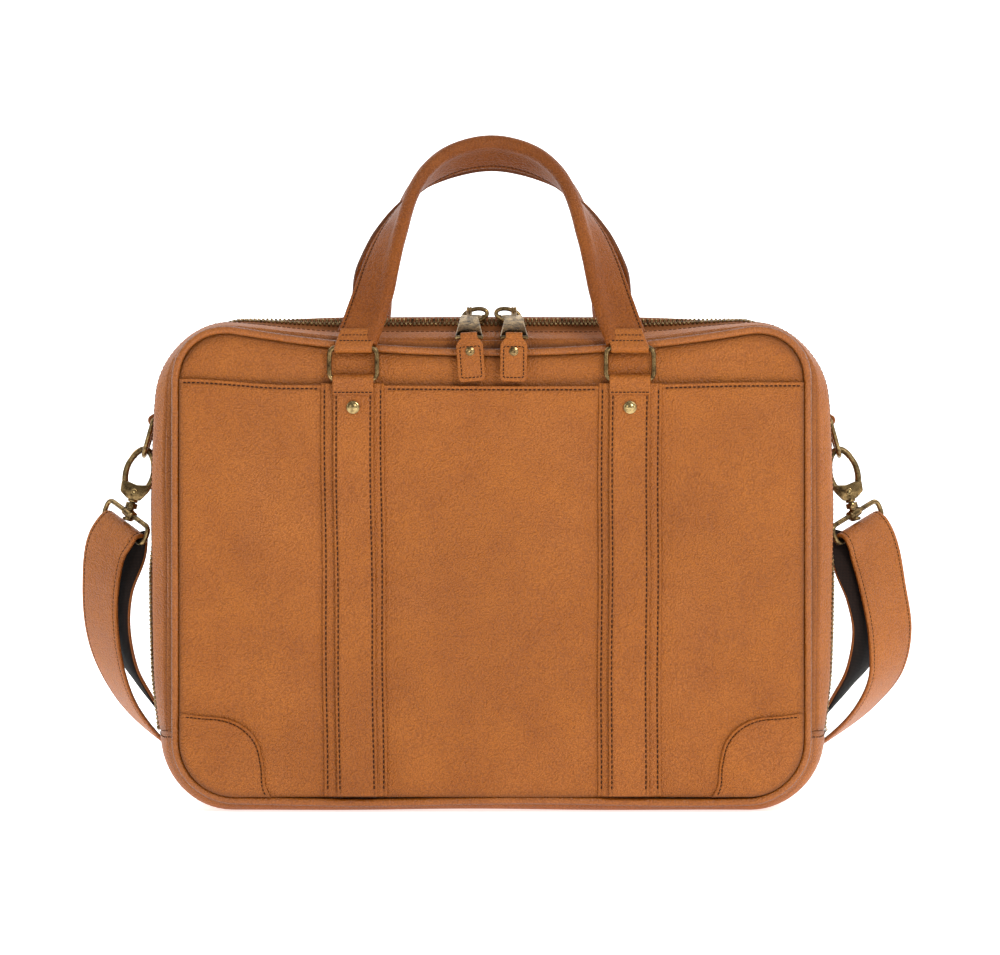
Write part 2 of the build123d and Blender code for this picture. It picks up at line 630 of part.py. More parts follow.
for body_side, body_name in ((-1, "front"), (1, "back")):
    body_pieces(body_side, body_name)
    outer_layers(body_side, body_name)
pocket_face = panel_outline(PIPING_R + 0.2) & Pos(0, POCKET_TOP / 2) * Rectangle(500, POCKET_TOP)
export("slip_pocket", plate(pocket_face, -1, POCKET))
gussets()
zip_chain()
inside_pieces()
handles()
zip_pulls()
sides()
shoulder_strap()
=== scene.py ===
"""Leather laptop briefcase: its soft leather, stitching, zip and hardware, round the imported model.

Lengths are millimetres until a mesh is made, when SCALE turns them into metres.
"""
import math

import bpy
import bmesh
import numpy as np
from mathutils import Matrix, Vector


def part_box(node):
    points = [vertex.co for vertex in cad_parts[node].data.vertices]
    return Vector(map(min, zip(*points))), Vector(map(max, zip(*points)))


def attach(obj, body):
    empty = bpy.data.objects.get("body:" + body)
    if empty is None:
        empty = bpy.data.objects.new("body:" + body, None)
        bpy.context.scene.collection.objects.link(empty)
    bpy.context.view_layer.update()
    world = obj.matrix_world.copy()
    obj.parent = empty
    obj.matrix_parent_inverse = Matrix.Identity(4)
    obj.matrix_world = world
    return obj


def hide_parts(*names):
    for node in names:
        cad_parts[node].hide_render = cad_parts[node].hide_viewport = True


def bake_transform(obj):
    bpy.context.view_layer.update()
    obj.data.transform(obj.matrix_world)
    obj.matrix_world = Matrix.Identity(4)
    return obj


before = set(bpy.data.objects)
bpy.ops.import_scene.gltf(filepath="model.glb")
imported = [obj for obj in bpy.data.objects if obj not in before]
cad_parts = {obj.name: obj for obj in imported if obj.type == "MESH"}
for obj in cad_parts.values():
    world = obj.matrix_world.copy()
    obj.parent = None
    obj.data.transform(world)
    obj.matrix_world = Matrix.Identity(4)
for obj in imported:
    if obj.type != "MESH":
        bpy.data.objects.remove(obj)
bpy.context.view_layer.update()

SCALE = 0.001


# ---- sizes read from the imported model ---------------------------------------
def mm_box(node):
    """Lowest and highest corner of a CAD node, in millimetres."""
    low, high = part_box(node)
    return np.array(low) / SCALE, np.array(high) / SCALE


PIPING_LOW, PIPING_HIGH = mm_box("front_piping")
PIPING_R = (PIPING_HIGH[1] - PIPING_LOW[1]) / 2
SEAM_Y = -(PIPING_LOW[1] + PIPING_R)
PANEL_HALF = PIPING_HIGH[0] - PIPING_R
PANEL_LOW = PIPING_LOW[2] + PIPING_R
GUSSET_EDGE_Y = mm_box("gusset_back")[1][1]
CREST_HALF = mm_box("gusset_back")[1][0]
CREST_Z = 297.0
ZIP_Y = (mm_box("zip_teeth_front")[1][1] + mm_box("zip_teeth_back")[0][1]) / 2
ZIP_END_Z = mm_box("gusset_bottom")[1][2]
POCKET_TOP = mm_box("slip_pocket")[1][2]
POCKET_Y = -mm_box("slip_pocket")[0][1]
PANEL_Y = -mm_box("front_panel")[0][1]
STRIP_Y = -mm_box("under_strips_front")[0][1]
STRAP_Y = -mm_box("handle_strap_front_left")[0][1] - 2.0
STRAP_X = -(mm_box("handle_strap_front_left")[0][0] + mm_box("handle_strap_front_left")[1][0]) / 2
RINGS_LOW, RINGS_HIGH = mm_box("handle_rings_front")
RING_WIRE = (RINGS_HIGH[1] - RINGS_LOW[1]) / 2
RING_Y = -(RINGS_LOW[1] + RING_WIRE)
RING_LOW_Z = RINGS_LOW[2] + RING_WIRE
RING_TOP_Z = RINGS_HIGH[2] - RING_WIRE
RIVET_Z = (mm_box("rivets_front")[0][2] + mm_box("rivets_front")[1][2]) / 2
PANEL_CORNER_Z = 296.0
PANEL_MID_Z = 276.0
CORNER_R = 36.0
UNDER_STRIP_W = 38.0
HANDLE_STRAP_W = 24.4
STRAP_W = 38.0
LID_EDGE = "root to front_lid"
ZIP_TILT = math.radians(36.0)
BAG_MIDDLE = np.array([0.0, 0.0, 150.0])
HALVES = ((-1, "front", "front_lid"), (1, "back", "root"))
HANDS = ((-1, "left"), (1, "right"))


# ---- materials ----------------------------------------------------------------
class Surface:
    """A material being built: short names for its nodes and links."""

    def __init__(self, name):
        self.mat = bpy.data.materials.new(name)
        self.mat.use_nodes = True
        self.nodes = self.mat.node_tree.nodes
        self.links = self.mat.node_tree.links
        self.shader = self.nodes["Principled BSDF"]

    def feed(self, value, socket):
        """Links an output to a socket, or sets the socket's own number or colour."""
        if hasattr(value, "node"):
            self.links.new(value, socket)
        else:
            socket.default_value = (*value, 1) if isinstance(value, tuple) else value

    def texture(self, kind, output, **values):
        """A texture in the object's own space, with its settings named as Blender names them."""
        node = self.nodes.new("ShaderNodeTex" + kind)
        for key, value in values.items():
            if hasattr(node, key):
                setattr(node, key, value)
            else:
                node.inputs[key].default_value = value
        self.links.new(self.nodes.new("ShaderNodeTexCoord").outputs["Object"], node.inputs["Vector"])
        return node.outputs[output]

    def noise(self, scale, detail, roughness, **more):
        return self.texture("Noise", "Fac", Scale=scale, Detail=detail, Roughness=roughness, **more)

    def ramp(self, source, low, high, first, last):
        """A source turned into colours between two of its values; a number stands for a grey."""
        node = self.nodes.new("ShaderNodeValToRGB")
        for element, position, colour in zip(node.color_ramp.elements, (low, high), (first, last)):
            element.position = position
            element.color = (*(colour if isinstance(colour, tuple) else (colour,) * 3), 1)
        self.links.new(source, node.inputs["Fac"])
        return node.outputs["Color"]

    def maths(self, operation, a, b):
        node = self.nodes.new("ShaderNodeMath")
        node.operation = operation
        self.feed(a, node.inputs[0])
        self.feed(b, node.inputs[1])
        return node.outputs["Value"]

    def mix(self, factor, a, b, blend="MIX"):
        """Two colours mixed, or multiplied, by a factor."""
        node = self.nodes.new("ShaderNodeMix")
        node.data_type = "RGBA"
        node.blend_type = blend
        self.feed(factor, node.inputs["Factor"])
        colour_a, colour_b, colour_out = 6, 7, 2
        self.feed(a, node.inputs[colour_a])
        self.feed(b, node.inputs[colour_b])
        return node.outputs[colour_out]

    def bump(self, height, strength, distance, normal=None):
        """A bump over a height, laid over an earlier bump's normal if there is one."""
        node = self.nodes.new("ShaderNodeBump")
        self.feed(height, node.inputs["Height"])
        self.feed(strength, node.inputs["Strength"])
        self.feed(distance, node.inputs["Distance"])
        if normal is not None:
            self.feed(normal, node.inputs["Normal"])
        return node.outputs["Normal"]

    def finish(self, **inputs):
        """Feeds the shader's inputs, written with _ for each space, and gives the material."""
        for key, value in inputs.items():
            self.feed(value, self.shader.inputs[key.replace("_", " ")])
        return self.mat


def leather(name, light, dark, rough=0.5, grain=1.0, shine=0.36):
    """Pebbled full-grain leather: mottled dye, pebbles with a painted pale sheen, pores and soft creases."""
    s = Surface(name)
    mottle = s.noise(34.0, 7.0, 0.68)
    pebbles = s.texture("Voronoi", "Distance", feature="SMOOTH_F1", Scale=980.0, Smoothness=0.6, Randomness=0.9)
    shade = s.ramp(s.noise(9.0, 2.0, 0.5), 0.3, 0.7, (0.94, 0.93, 0.91), (1.04, 1.035, 1.02))
    cells = s.ramp(pebbles, 0.2, 0.7, (1.10, 1.09, 1.08), (0.76, 0.72, 0.68))
    colour = s.mix(1.0, s.ramp(mottle, 0.22, 0.76, dark, light), shade, "MULTIPLY")
    colour = s.mix(1.0, colour, cells, "MULTIPLY")
    # Painted sheen: a paler colour on the pebble tops in soft patches, standing in for highlights.
    painted_sheen = s.maths("MULTIPLY", s.ramp(s.noise(15.0, 3.0, 0.55), 0.5, 0.74, 0.0, 0.3),
                    s.ramp(pebbles, 0.1, 0.5, 1.0, 0.15))
    colour = s.mix(painted_sheen, colour, tuple(c * 1.25 + 0.05 for c in light))
    # The edge attribute darkens the colour: dark cut edges, and painted shade in creases, grooves and beside the
    # piping.
    darkening = s.nodes.new("ShaderNodeAttribute")
    darkening.attribute_name = "edge"
    colour = s.mix(darkening.outputs["Fac"], colour, tuple(0.42 * c for c in dark))
    normal = s.bump(s.noise(150.0, 4.0, 0.6, Distortion=0.6), 0.3 * grain, 0.0006)
    normal = s.bump(s.noise(1900.0, 2.0, 0.6), 0.1 * grain, 0.0001, normal)
    normal = s.bump(s.maths("SUBTRACT", 1.0, pebbles), grain, 0.0007, normal)
    return s.finish(Base_Color=colour, Roughness=s.ramp(mottle, 0.2, 0.8, rough - 0.10, rough + 0.06),
                    Specular_IOR_Level=shine, Normal=normal)


def metal(name, bright, dark, rough):
    """Antiqued brass: dark patina in patches and hollows, rubbed bright elsewhere."""
    s = Surface(name)
    patina = s.noise(260.0, 6.0, 0.65)
    return s.finish(Base_Color=s.ramp(patina, 0.34, 0.62, dark, bright), Metallic=1.0,
                    Roughness=s.ramp(patina, 0.3, 0.7, rough + 0.16, rough - 0.06),
                    Normal=s.bump(s.noise(1500.0, 3.0, 0.7), 0.12, 0.00008))


def cloth(name, light, dark, pitch, rough=0.85, depth=0.35, sheen=0.12):
    """Plain weave: two crossed sets of threads, each thread pitch wide, with a little fuzz."""
    s = Surface(name)
    scale = 2 * math.pi / (20.0 * pitch * SCALE)
    weave = s.maths("MULTIPLY", *[s.texture("Wave", "Fac", bands_direction=direction, Scale=scale, Distortion=0.4,
                                            Detail=1.0) for direction in ("X", "Z")])
    spots = s.ramp(s.noise(700.0, 3.0, 0.7), 0.3, 0.7, 0.8, 1.1)
    return s.finish(Base_Color=s.mix(1.0, s.ramp(weave, 0.05, 0.8, dark, light), spots, "MULTIPLY"),
                    Roughness=rough, Sheen_Weight=sheen, Specular_IOR_Level=0.25,
                    Normal=s.bump(weave, depth, 0.0002))


TAN = leather("tan_leather", (0.452, 0.140, 0.014), (0.332, 0.091, 0.006))
PIPE_LEATHER = leather("piping_leather", (0.43, 0.132, 0.014), (0.33, 0.092, 0.007), rough=0.38, grain=0.7,
                       shine=0.45)
HANDLE_LEATHER = leather("handle_leather", (0.335, 0.094, 0.008), (0.225, 0.055, 0.004), rough=0.46, shine=0.26)
BRASS = metal("antique_brass", (0.34, 0.225, 0.095), (0.035, 0.021, 0.010), rough=0.25)
BRIGHT_BRASS = metal("rubbed_brass", (0.56, 0.41, 0.18), (0.13, 0.085, 0.035), rough=0.22)
THREAD = cloth("stitch_thread", (0.085, 0.026, 0.007), (0.03, 0.009, 0.003), 0.25, sheen=0.0)
LINING = cloth("lining_cloth", (0.15, 0.098, 0.058), (0.055, 0.034, 0.02), 0.5, rough=0.8)
TAPE = cloth("zip_tape_cloth", (0.38, 0.13, 0.030), (0.19, 0.06, 0.014), 0.45, sheen=0.0)
WEBBING = cloth("strap_webbing", (0.03, 0.012, 0.006), (0.007, 0.003, 0.002), 0.9, depth=0.6, sheen=0.0)
BOARD = cloth("board_cloth", (0.06, 0.045, 0.035), (0.025, 0.018, 0.014), 0.6)


# ---- shapes and curves ----------------------------------------------------------
def unit(vectors):
    """Vectors of length one, along the last axis."""
    vectors = np.asarray(vectors, dtype=float)
    return vectors / np.maximum(np.linalg.norm(vectors, axis=-1, keepdims=True), 1e-9)


def bell(x, centre, width):
    """A soft hump: 1 at the centre, and nearly 0 two widths away."""
    return np.exp(-((x - centre) / width) ** 2)


def fading(x, width):
    """1 up to zero, then falling off over a width."""
    return np.exp(-np.maximum(x, 0) / width)


def smooth(x, low, high):
    """0 below low, 1 above high, and a soft step between."""
    t = np.clip((x - low) / (high - low), 0, 1)
    return t * t * (3 - 2 * t)


def turn(count, start=0.0, stop=2 * math.pi):
    """Angles of a full turn, without its last point."""
    return np.linspace(start, stop, count, endpoint=False)


def catmull(knots, per_span):
    """Smooth curve through knots, per_span points for each span."""
    k = np.concatenate([[2 * knots[0] - knots[1]], knots, [2 * knots[-1] - knots[-2]]])
    out = []
    for a, b, c, d in zip(k, k[1:], k[2:], k[3:]):
        for t in np.linspace(0, 1, per_span, endpoint=False):
            out.append(0.5 * (2 * b + (c - a) * t + (2 * a - 5 * b + 4 * c - d) * t * t
                              + (3 * b - a - 3 * c + d) * t ** 3))
    out.append(knots[-1])
    return np.array(out)


def bezier(a, b, c, d, count):
    """Points between a and d on a cubic curve, without its ends."""
    t = np.linspace(0, 1, count + 2)[1:-1, None]
    a, b, c, d = (np.asarray(p, dtype=float) for p in (a, b, c, d))
    return a * (1 - t) ** 3 + 3 * b * t * (1 - t) ** 2 + 3 * c * t ** 2 * (1 - t) + d * t ** 3


def resample(points, pitch):
    """Points a pitch apart along a polyline, with the direction and the share of its length at each."""
    points = np.asarray(points, dtype=float)
    s = run_length(points)
    count = max(int(round(s[-1] / pitch)), 1)
    at = (np.arange(count) + 0.5) * s[-1] / count

    def read(where):
        return np.stack([np.interp(where, s, column) for column in points.T], axis=1)

    reach = 0.3
    ahead, behind = read(np.minimum(at + reach, s[-1])), read(np.maximum(at - reach, 0))
    return read(at), unit(ahead - behind), at / s[-1]


def run_length(points):
    """Length of a polyline up to each of its points."""
    return np.concatenate([[0], np.cumsum(np.linalg.norm(np.diff(points, axis=0), axis=1))])


def even_loop(flat, pitch):
    """A closed flat outline with its points a pitch apart."""
    return resample(np.vstack([flat, flat[:1]]), pitch)[0]


def rounded(points, radius, count=6):
    """A polygon with its corners rounded by quadratic curves; radius may be one for each corner."""
    points = np.asarray(points, dtype=float)
    out = []
    for i, (p, r) in enumerate(zip(points, np.broadcast_to(radius, len(points)))):
        before, after = points[i - 1], points[(i + 1) % len(points)]
        a = p + (before - p) * min(r / np.linalg.norm(before - p), 0.49)
        b = p + (after - p) * min(r / np.linalg.norm(after - p), 0.49)
        out += [a * (1 - t) ** 2 + 2 * p * t * (1 - t) + b * t ** 2 for t in np.linspace(0, 1, count)]
    return np.array(out)


def border_steps(start, stop, count, lip=0.9):
    """Positions from start to stop with two close steps at each end, for a rounded edge."""
    step = np.sign(stop - start) * lip
    middle = np.linspace(start + step, stop - step, count)
    return np.concatenate([[start, start + step * 0.3], middle, [stop - step * 0.3, stop]])


def normals_of(grid):
    """Unit normals of a grid of points, along rows crossed with along columns."""
    return unit(np.cross(np.gradient(grid, axis=0), np.gradient(grid, axis=1)))


def band_grid(x, y, z):
    """A sheet's grid from its x, y and z, of which each may be a row, a column or a whole grid."""
    return np.stack(np.broadcast_arrays(x, y, z), axis=-1)


# ---- solids: each gives its points and faces ----------------------------------------
def loft_faces(rings, sides, closed=False):
    """Faces between rings of points, with both ends capped unless the rings close on themselves."""
    faces = []
    for i in range(rings if closed else rings - 1):
        a, b = i * sides, (i + 1) % rings * sides
        faces += [(a + j, a + (j + 1) % sides, b + (j + 1) % sides, b + j) for j in range(sides)]
    if not closed:
        faces += [tuple(range(sides)), tuple((rings - 1) * sides + j for j in range(sides))]
    return faces


def joined(parts):
    """Several solids as one."""
    verts, faces, count = [], [], 0
    for v, f in parts:
        verts.append(np.asarray(v))
        faces.extend([tuple(int(i) + count for i in face) for face in f])
        count += len(v)
    return np.concatenate(verts), faces


def edge_profile(count, round_ends):
    """Share of the full thickness across a sheet: thinner at its ends where they are rounded."""
    profile = np.ones(count)
    if round_ends:
        profile[[0, -1]] = 0.35
        profile[[1, -2]] = 0.82
    return profile


def sheet_geometry(grid, thick, normal, round_rows, round_cols, lift=0):
    """A closed sheet round a mid-surface grid, its outer grid and half thickness; lift raises the outside."""
    rows, cols = grid.shape[:2]
    half = thick / 2 * np.outer(edge_profile(rows, round_rows), edge_profile(cols, round_cols))
    outer = grid + normal * (half + lift)[:, :, None]
    inner = grid - normal * half[:, :, None]
    verts = np.concatenate([outer.reshape(-1, 3), inner.reshape(-1, 3)])
    i, j = np.meshgrid(np.arange(rows - 1), np.arange(cols - 1), indexing="ij")
    a = (i * cols + j).ravel()
    top = np.stack([a, a + 1, a + cols + 1, a + cols], axis=1)
    bottom = top[:, ::-1] + rows * cols
    ring = np.concatenate([np.arange(cols), np.arange(1, rows) * cols + cols - 1,
                           (rows - 1) * cols + np.arange(cols - 2, -1, -1), np.arange(rows - 2, 0, -1) * cols])
    after = np.roll(ring, -1)
    wall = np.stack([ring, after, after + rows * cols, ring + rows * cols], axis=1)
    return verts, np.concatenate([top, bottom, wall]), outer, half


def tube_geometry(path, radius, closed=False, sides=14, squash=None):
    """A round tube along a path; radius may vary along it, and squash flattens it along an axis."""
    path = np.asarray(path, dtype=float)
    if closed:
        tangent = unit(np.roll(path, -1, axis=0) - np.roll(path, 1, axis=0))
    else:
        tangent = unit(np.gradient(path, axis=0))
    side = np.cross(tangent[0], [0.0, 1.0, 0.001])
    carried = []
    for t in tangent:
        side = unit(side - t * side.dot(t))
        carried.append(side)
    u = np.array(carried)
    v = np.cross(tangent, u)
    angle = turn(sides)
    ring = np.cos(angle)[None, :, None] * u[:, None, :] + np.sin(angle)[None, :, None] * v[:, None, :]
    if squash is not None:
        axis, keep = squash
        ring = ring - (ring @ axis)[:, :, None] * axis * (1 - keep)
    radii = np.broadcast_to(radius, len(path))
    verts = (path[:, None, :] + ring * radii[:, None, None]).reshape(-1, 3)
    return verts, loft_faces(len(path), sides, closed)


def lathe(profile, origin, axis, sides=28):
    """A turned solid: (radius, height) steps along an axis."""
    axis = unit(axis)
    u = unit(np.cross(axis, [0.2, 0.9, 0.3]))
    v = np.cross(axis, u)
    angle = turn(sides)[:, None]
    ring = np.cos(angle) * u + np.sin(angle) * v
    verts = np.concatenate([np.asarray(origin) + ring * r + axis * h for r, h in profile])
    return verts, loft_faces(len(profile), sides)


def plate_geometry(outline, profile, origin, u_axis, v_axis):
    """A bevelled plate: the outline repeated at each (inset, height) of the profile."""
    u_axis, v_axis = np.asarray(u_axis, dtype=float), np.asarray(v_axis, dtype=float)
    n_axis = np.cross(u_axis, v_axis)
    ahead = unit(np.roll(outline, -1, axis=0) - outline)
    both = ahead + np.roll(ahead, 1, axis=0)
    bisector = unit(both[:, ::-1] * [-1, 1])
    stretch = 1 / np.maximum((bisector * ahead[:, ::-1] * [-1, 1]).sum(axis=1, keepdims=True), 0.5)
    x, z = outline.T
    area = 0.5 * np.sum(x * np.roll(z, -1) - np.roll(x, -1) * z)
    inward = bisector * stretch * np.sign(area)
    verts = []
    for inset, height in profile:
        ring = outline + inward * inset
        verts.append(origin + ring[:, :1] * u_axis + ring[:, 1:] * v_axis + n_axis * height)
    return np.concatenate(verts), loft_faces(len(profile), len(outline))


def slab_profile(thick, bevel):
    """Inset and height steps of a plate with rounded rims on both faces."""
    steps = [(bevel, -thick / 2), (0.35 * bevel, -thick / 2 + 0.2 * bevel), (0, -thick / 2 + 0.8 * bevel)]
    return steps + [(inset, -height) for inset, height in reversed(steps)]


def ring_path(width, height, corner, origin, u_axis, v_axis):
    """Closed route of a rectangular wire ring."""
    half_w, half_h = width / 2, height / 2
    flat = rounded([(-half_w, -half_h), (half_w, -half_h), (half_w, half_h), (-half_w, half_h)], corner * 1.25, 8)
    even = even_loop(flat, 1.0)
    return np.asarray(origin) + even[:, :1] * np.asarray(u_axis) + even[:, 1:] * np.asarray(v_axis)


def stitch_geometry(points, normals, pitch=2.6, length=2.0, radius=0.36):
    """One run of thread stitches, each a small capsule lying in its groove."""
    centre, direction, at = resample(points, pitch)
    s = run_length(np.asarray(points, dtype=float))
    normal = np.stack([np.interp(at, s / s[-1], column) for column in np.asarray(normals, dtype=float).T], axis=1)
    normal = unit(normal - direction * (normal * direction).sum(axis=1, keepdims=True))
    across = np.cross(direction, normal)
    stations = np.array([-0.5, -0.42, 0.0, 0.42, 0.5]) * length
    radii = np.array([0.35, 0.85, 1.0, 0.85, 0.35]) * radius
    sink = np.array([-0.5, -0.05, 0.12, -0.05, -0.5]) * radius
    angle = turn(6)
    faces = loft_faces(len(stations), len(angle))
    flat = 0.8
    return joined([(np.array([c + d * x + n * (k + r * math.sin(t) * flat) + a * (r * math.cos(t))
                              for x, r, k in zip(stations, radii, sink) for t in angle]), faces)
                   for c, d, n, a in zip(centre, direction, normal, across)])


# ---- pieces -------------------------------------------------------------------------
def make_piece(name, verts, faces, mats, body, slot, stands_for=(), face_mats=None, edge=None, sharp=50.0):
    """A mesh object from millimetre points, riding on a body; edge darkens its leather at cut edges and paints
    shade in creases and grooves.
    """
    mesh = bpy.data.meshes.new(name)
    mesh.from_pydata([tuple(v) for v in np.asarray(verts) * SCALE], [], [tuple(int(i) for i in f) for f in faces])
    for mat in (mats if isinstance(mats, list) else [mats]):
        mesh.materials.append(mat)
    if face_mats is not None:
        mesh.polygons.foreach_set("material_index", np.asarray(face_mats, dtype=np.int32))
    if edge is not None:
        attribute = mesh.attributes.new("edge", "FLOAT", "POINT")
        attribute.data.foreach_set("value", np.asarray(edge, dtype=np.float32))
    mesh.polygons.foreach_set("use_smooth", [True] * len(mesh.polygons))
    mesh.update()
    closed = bmesh.new()
    closed.from_mesh(mesh)
    bmesh.ops.recalc_face_normals(closed, faces=closed.faces)
    closed.to_mesh(mesh)
    closed.free()
    mesh.set_sharp_from_angle(angle=math.radians(sharp))
    obj = bpy.data.objects.new(name, mesh)
    bpy.context.scene.collection.objects.link(obj)
    if body == LID_EDGE:
        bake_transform(obj)
    else:
        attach(obj, body)
    if stands_for:
        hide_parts(*stands_for)
    return obj


def sheet(name, grid, thick, body, slot="leather", mats=TAN, stands_for=(), flip=False, round_rows=True,
          round_cols=True, lift=0, shade=0):
    """A sheet as a closed mesh: leather with dark edges, or cloth. Gives the object, outer grid and normals."""
    normal = normals_of(grid) * (-1 if flip else 1)
    verts, faces, outer, half = sheet_geometry(grid, thick, normal, round_rows, round_cols, lift)
    # Dark cut edges of tan leather, with the shade argument's painted shade laid over the outer face.
    darkening = (1 - 2 * half / thick).clip(0, 1) * (0.75 if mats == TAN else 0.0)
    obj = make_piece(name, verts, faces, mats, body, slot, stands_for,
                     edge=np.concatenate([np.maximum(darkening, shade).ravel(), darkening.ravel()]))
    return obj, outer, normal


def cast(name, parts, body, stands_for=(), mats=BRASS, sharp=50.0):
    """A metal piece made of several solids."""
    return make_piece(name, *joined(parts), mats, body, "antique_brass", stands_for, sharp=sharp)


STITCHES = {}


def stitch(body, points, normals, **sizes):
    """Collects a run of stitches for a body; stitches_done makes one object for each body."""
    STITCHES.setdefault(body, []).append(stitch_geometry(points, normals, **sizes))


def stitches_done():
    for body, parts in STITCHES.items():
        make_piece(f"stitching_{body}", *joined(parts), THREAD, body, "webbing")


def rivet(name, body, centre, axis, radius, stands_for=(), slotted=False, height=2.1, mats=BRIGHT_BRASS):
    """Turned rivet head: a rolled rim and a shallow dome, with or without a slot."""
    rings = [(0.9, -0.6), (1.0, 0.0), (1.0, 0.25), (0.97, 0.42), (0.9, 0.5), (0.82, 0.52), (0.7, 0.72), (0.5, 0.9),
             (0.25, 1.0), (0.06, 1.03)]
    half_slot = slot_depth = 0.45
    axis = unit(axis)
    u = unit(np.cross(axis, [0.3, 0.1, 0.9]))
    v = np.cross(axis, u)
    angle = turn(36)
    ring = np.cos(angle)[:, None] * u + np.sin(angle)[:, None] * v
    verts = []
    for r, h in rings:
        in_slot = slotted & (np.abs(np.sin(angle) * r * radius) < half_slot) & (r < 0.75)
        depth = h * height - slot_depth * in_slot
        verts.append(centre + ring * r * radius + axis * depth[:, None])
    return make_piece(name, np.concatenate(verts), loft_faces(len(rings), len(angle)), mats, body, "antique_brass",
                      stands_for)


# ---- outline of the bag ---------------------------------------------------------
ROUND_ARM = 0.5523


def half_outline(half, end_in, low, corner, mid, r_low, r_top):
    """Right half outline as two runs of (x, z): base to the zip's end, and from there to the top."""
    end = half - end_in
    waist = low + (corner - low) * 0.45

    def side(z):
        a = (z - waist) * (z - corner) / ((low - waist) * (low - corner))
        b = (z - low) * (z - corner) / ((waist - low) * (waist - corner))
        c = (z - low) * (z - waist) / ((corner - low) * (corner - waist))
        return a * end + b * half + c * end

    def top(x):
        return mid + (corner - mid) * (x / end) ** 2

    low_a = np.array([side(low) - r_low, low])
    low_b = np.array([side(low + r_low), low + r_low])
    lean = np.array([low_b[0] - side(low + r_low - 1), 1.0])
    low_corner = bezier(low_a, low_a + [ROUND_ARM * r_low, 0], low_b - lean * ROUND_ARM * r_low, low_b, 14)
    top_a = np.array([side(corner - r_top), corner - r_top])
    top_b = np.array([end - r_top, top(end - r_top)])
    up = np.array([side(corner - r_top + 1) - top_a[0], 1.0])
    out = np.array([1.0, top(end - r_top + 1) - top_b[1]])
    top_corner = bezier(top_a, top_a + up * ROUND_ARM * r_top, top_b + out * ROUND_ARM * r_top, top_b, 16)
    base = [(x, low) for x in np.linspace(0, low_a[0], 26)]
    wall = [(side(z), z) for z in np.linspace(low + r_low, ZIP_END_Z, 3)]
    upper = [(side(z), z) for z in np.linspace(ZIP_END_Z + 0.4, corner - r_top, 46)]
    lid = [(x, top(x)) for x in np.linspace(top_b[0], 0, 46)]
    return np.concatenate([base, low_corner, wall]), np.concatenate([upper, top_corner, lid])


def gusset_shape(y):
    """Outline measures of the gusset at one depth: widest at the zip, closing to the panels."""
    plateau = 12.0
    if y < ZIP_Y:
        w = (ZIP_Y - y) / (ZIP_Y + GUSSET_EDGE_Y)
    else:
        w = max(0.0, (y - plateau) / (GUSSET_EDGE_Y - plateau))
    w = min(w, 1.0)
    half = CREST_HALF - (CREST_HALF - PANEL_HALF) * w ** 2.1
    low = 5.0 * float(smooth(abs(y), 26.0, 42.0))
    mid = CREST_Z - (CREST_Z - PANEL_MID_Z - 1.5) * w ** 1.7
    radius = 47.0 - 11.0 * w
    return half, 7.0 - 6.5 * w, low, 295.5, mid, radius, radius


def between_handles(x, z):
    """1 over the middle of the top, where the zip leans forward."""
    return (1 - smooth(np.abs(x), 88.0, 165.0)) * smooth(z, 262.0, 280.0)


def on_side(x, z, low_fade, high_fade):
    """1 along the bag's sides between two heights, each given as a fade (from, to)."""
    return smooth(z, *low_fade) * (1 - smooth(z, *high_fade)) * smooth(np.abs(x), 180, 198)


def top_dip(x, y, z):
    """Between the handles the zip leans forward, so the gusset in front of it sits lower."""
    near = np.clip(-6.0 - y, 0, 10.5) * math.tan(ZIP_TILT) * 0.7
    return between_handles(x, z) * near * (1 - smooth(-y, 17.0, 43.0))


def ripple(x, y, z):
    """Slow hand-made unevenness of the leather."""
    return 0.6 * (np.sin(x * 0.043 + y * 0.09 + 1.3) * np.sin(z * 0.037 + 0.4)
                  + 0.5 * np.sin(x * 0.021 - z * 0.052 + y * 0.05))


def gusset_points(y, part, inset=0.0):
    """Points of the gusset's outer face at one depth: part is zip or base."""
    half, end_in, low, corner, mid, r_low, r_top = gusset_shape(y)
    low_run, high_run = half_outline(half - inset, end_in, low + inset, corner - inset, mid - inset,
                                     r_low - inset, r_top - inset)
    if part == "zip":
        run = np.concatenate([high_run, (high_run * [-1, 1])[-2::-1]])
    else:
        run = np.concatenate([(low_run * [-1, 1])[::-1], low_run[1:]])
    x, z = run.T
    return band_grid(x, float(y), z - top_dip(x, y, z))


def gusset_grid(y0, y1, part, count, inset=0.0, waves=True):
    """Grid of gusset points between two depths, with close steps at both long edges."""
    grid = np.stack([gusset_points(y, part, inset) for y in border_steps(y0, y1, count)])
    if waves:
        x, y, z = np.moveaxis(grid, 2, 0)
        fade = np.minimum(smooth(np.abs(y - y0), 0, 8), smooth(np.abs(y - y1), 0, 8))
        grid = grid + outward(grid) * (ripple(x, y, z) * fade)[:, :, None]
    return grid


def outward(grid):
    """Normals of a gusset grid, pointing away from the bag's middle."""
    n = normals_of(grid)
    return n * np.sign(((grid - BAG_MIDDLE) * n * [1, 0, 1]).sum(axis=2).mean())


# ---- front and back faces -------------------------------------------------------
def face_edge(x, z):
    """Distance inwards from the panel's seam line, roughly."""
    top = PANEL_MID_Z + (PANEL_CORNER_Z - PANEL_MID_Z) * (x / PANEL_HALF) ** 2
    ax = np.abs(x)
    straight = np.minimum(np.minimum(PANEL_HALF - ax, z - PANEL_LOW), top - z)
    r = CORNER_R + 1.5
    cx = ax - (PANEL_HALF - r)
    cz = np.maximum(PANEL_LOW + r - z, z - (top - r))
    corner = r - np.hypot(np.maximum(cx, 0), np.maximum(cz, 0))
    return np.where((cx > 0) & (cz > 0), corner, straight)


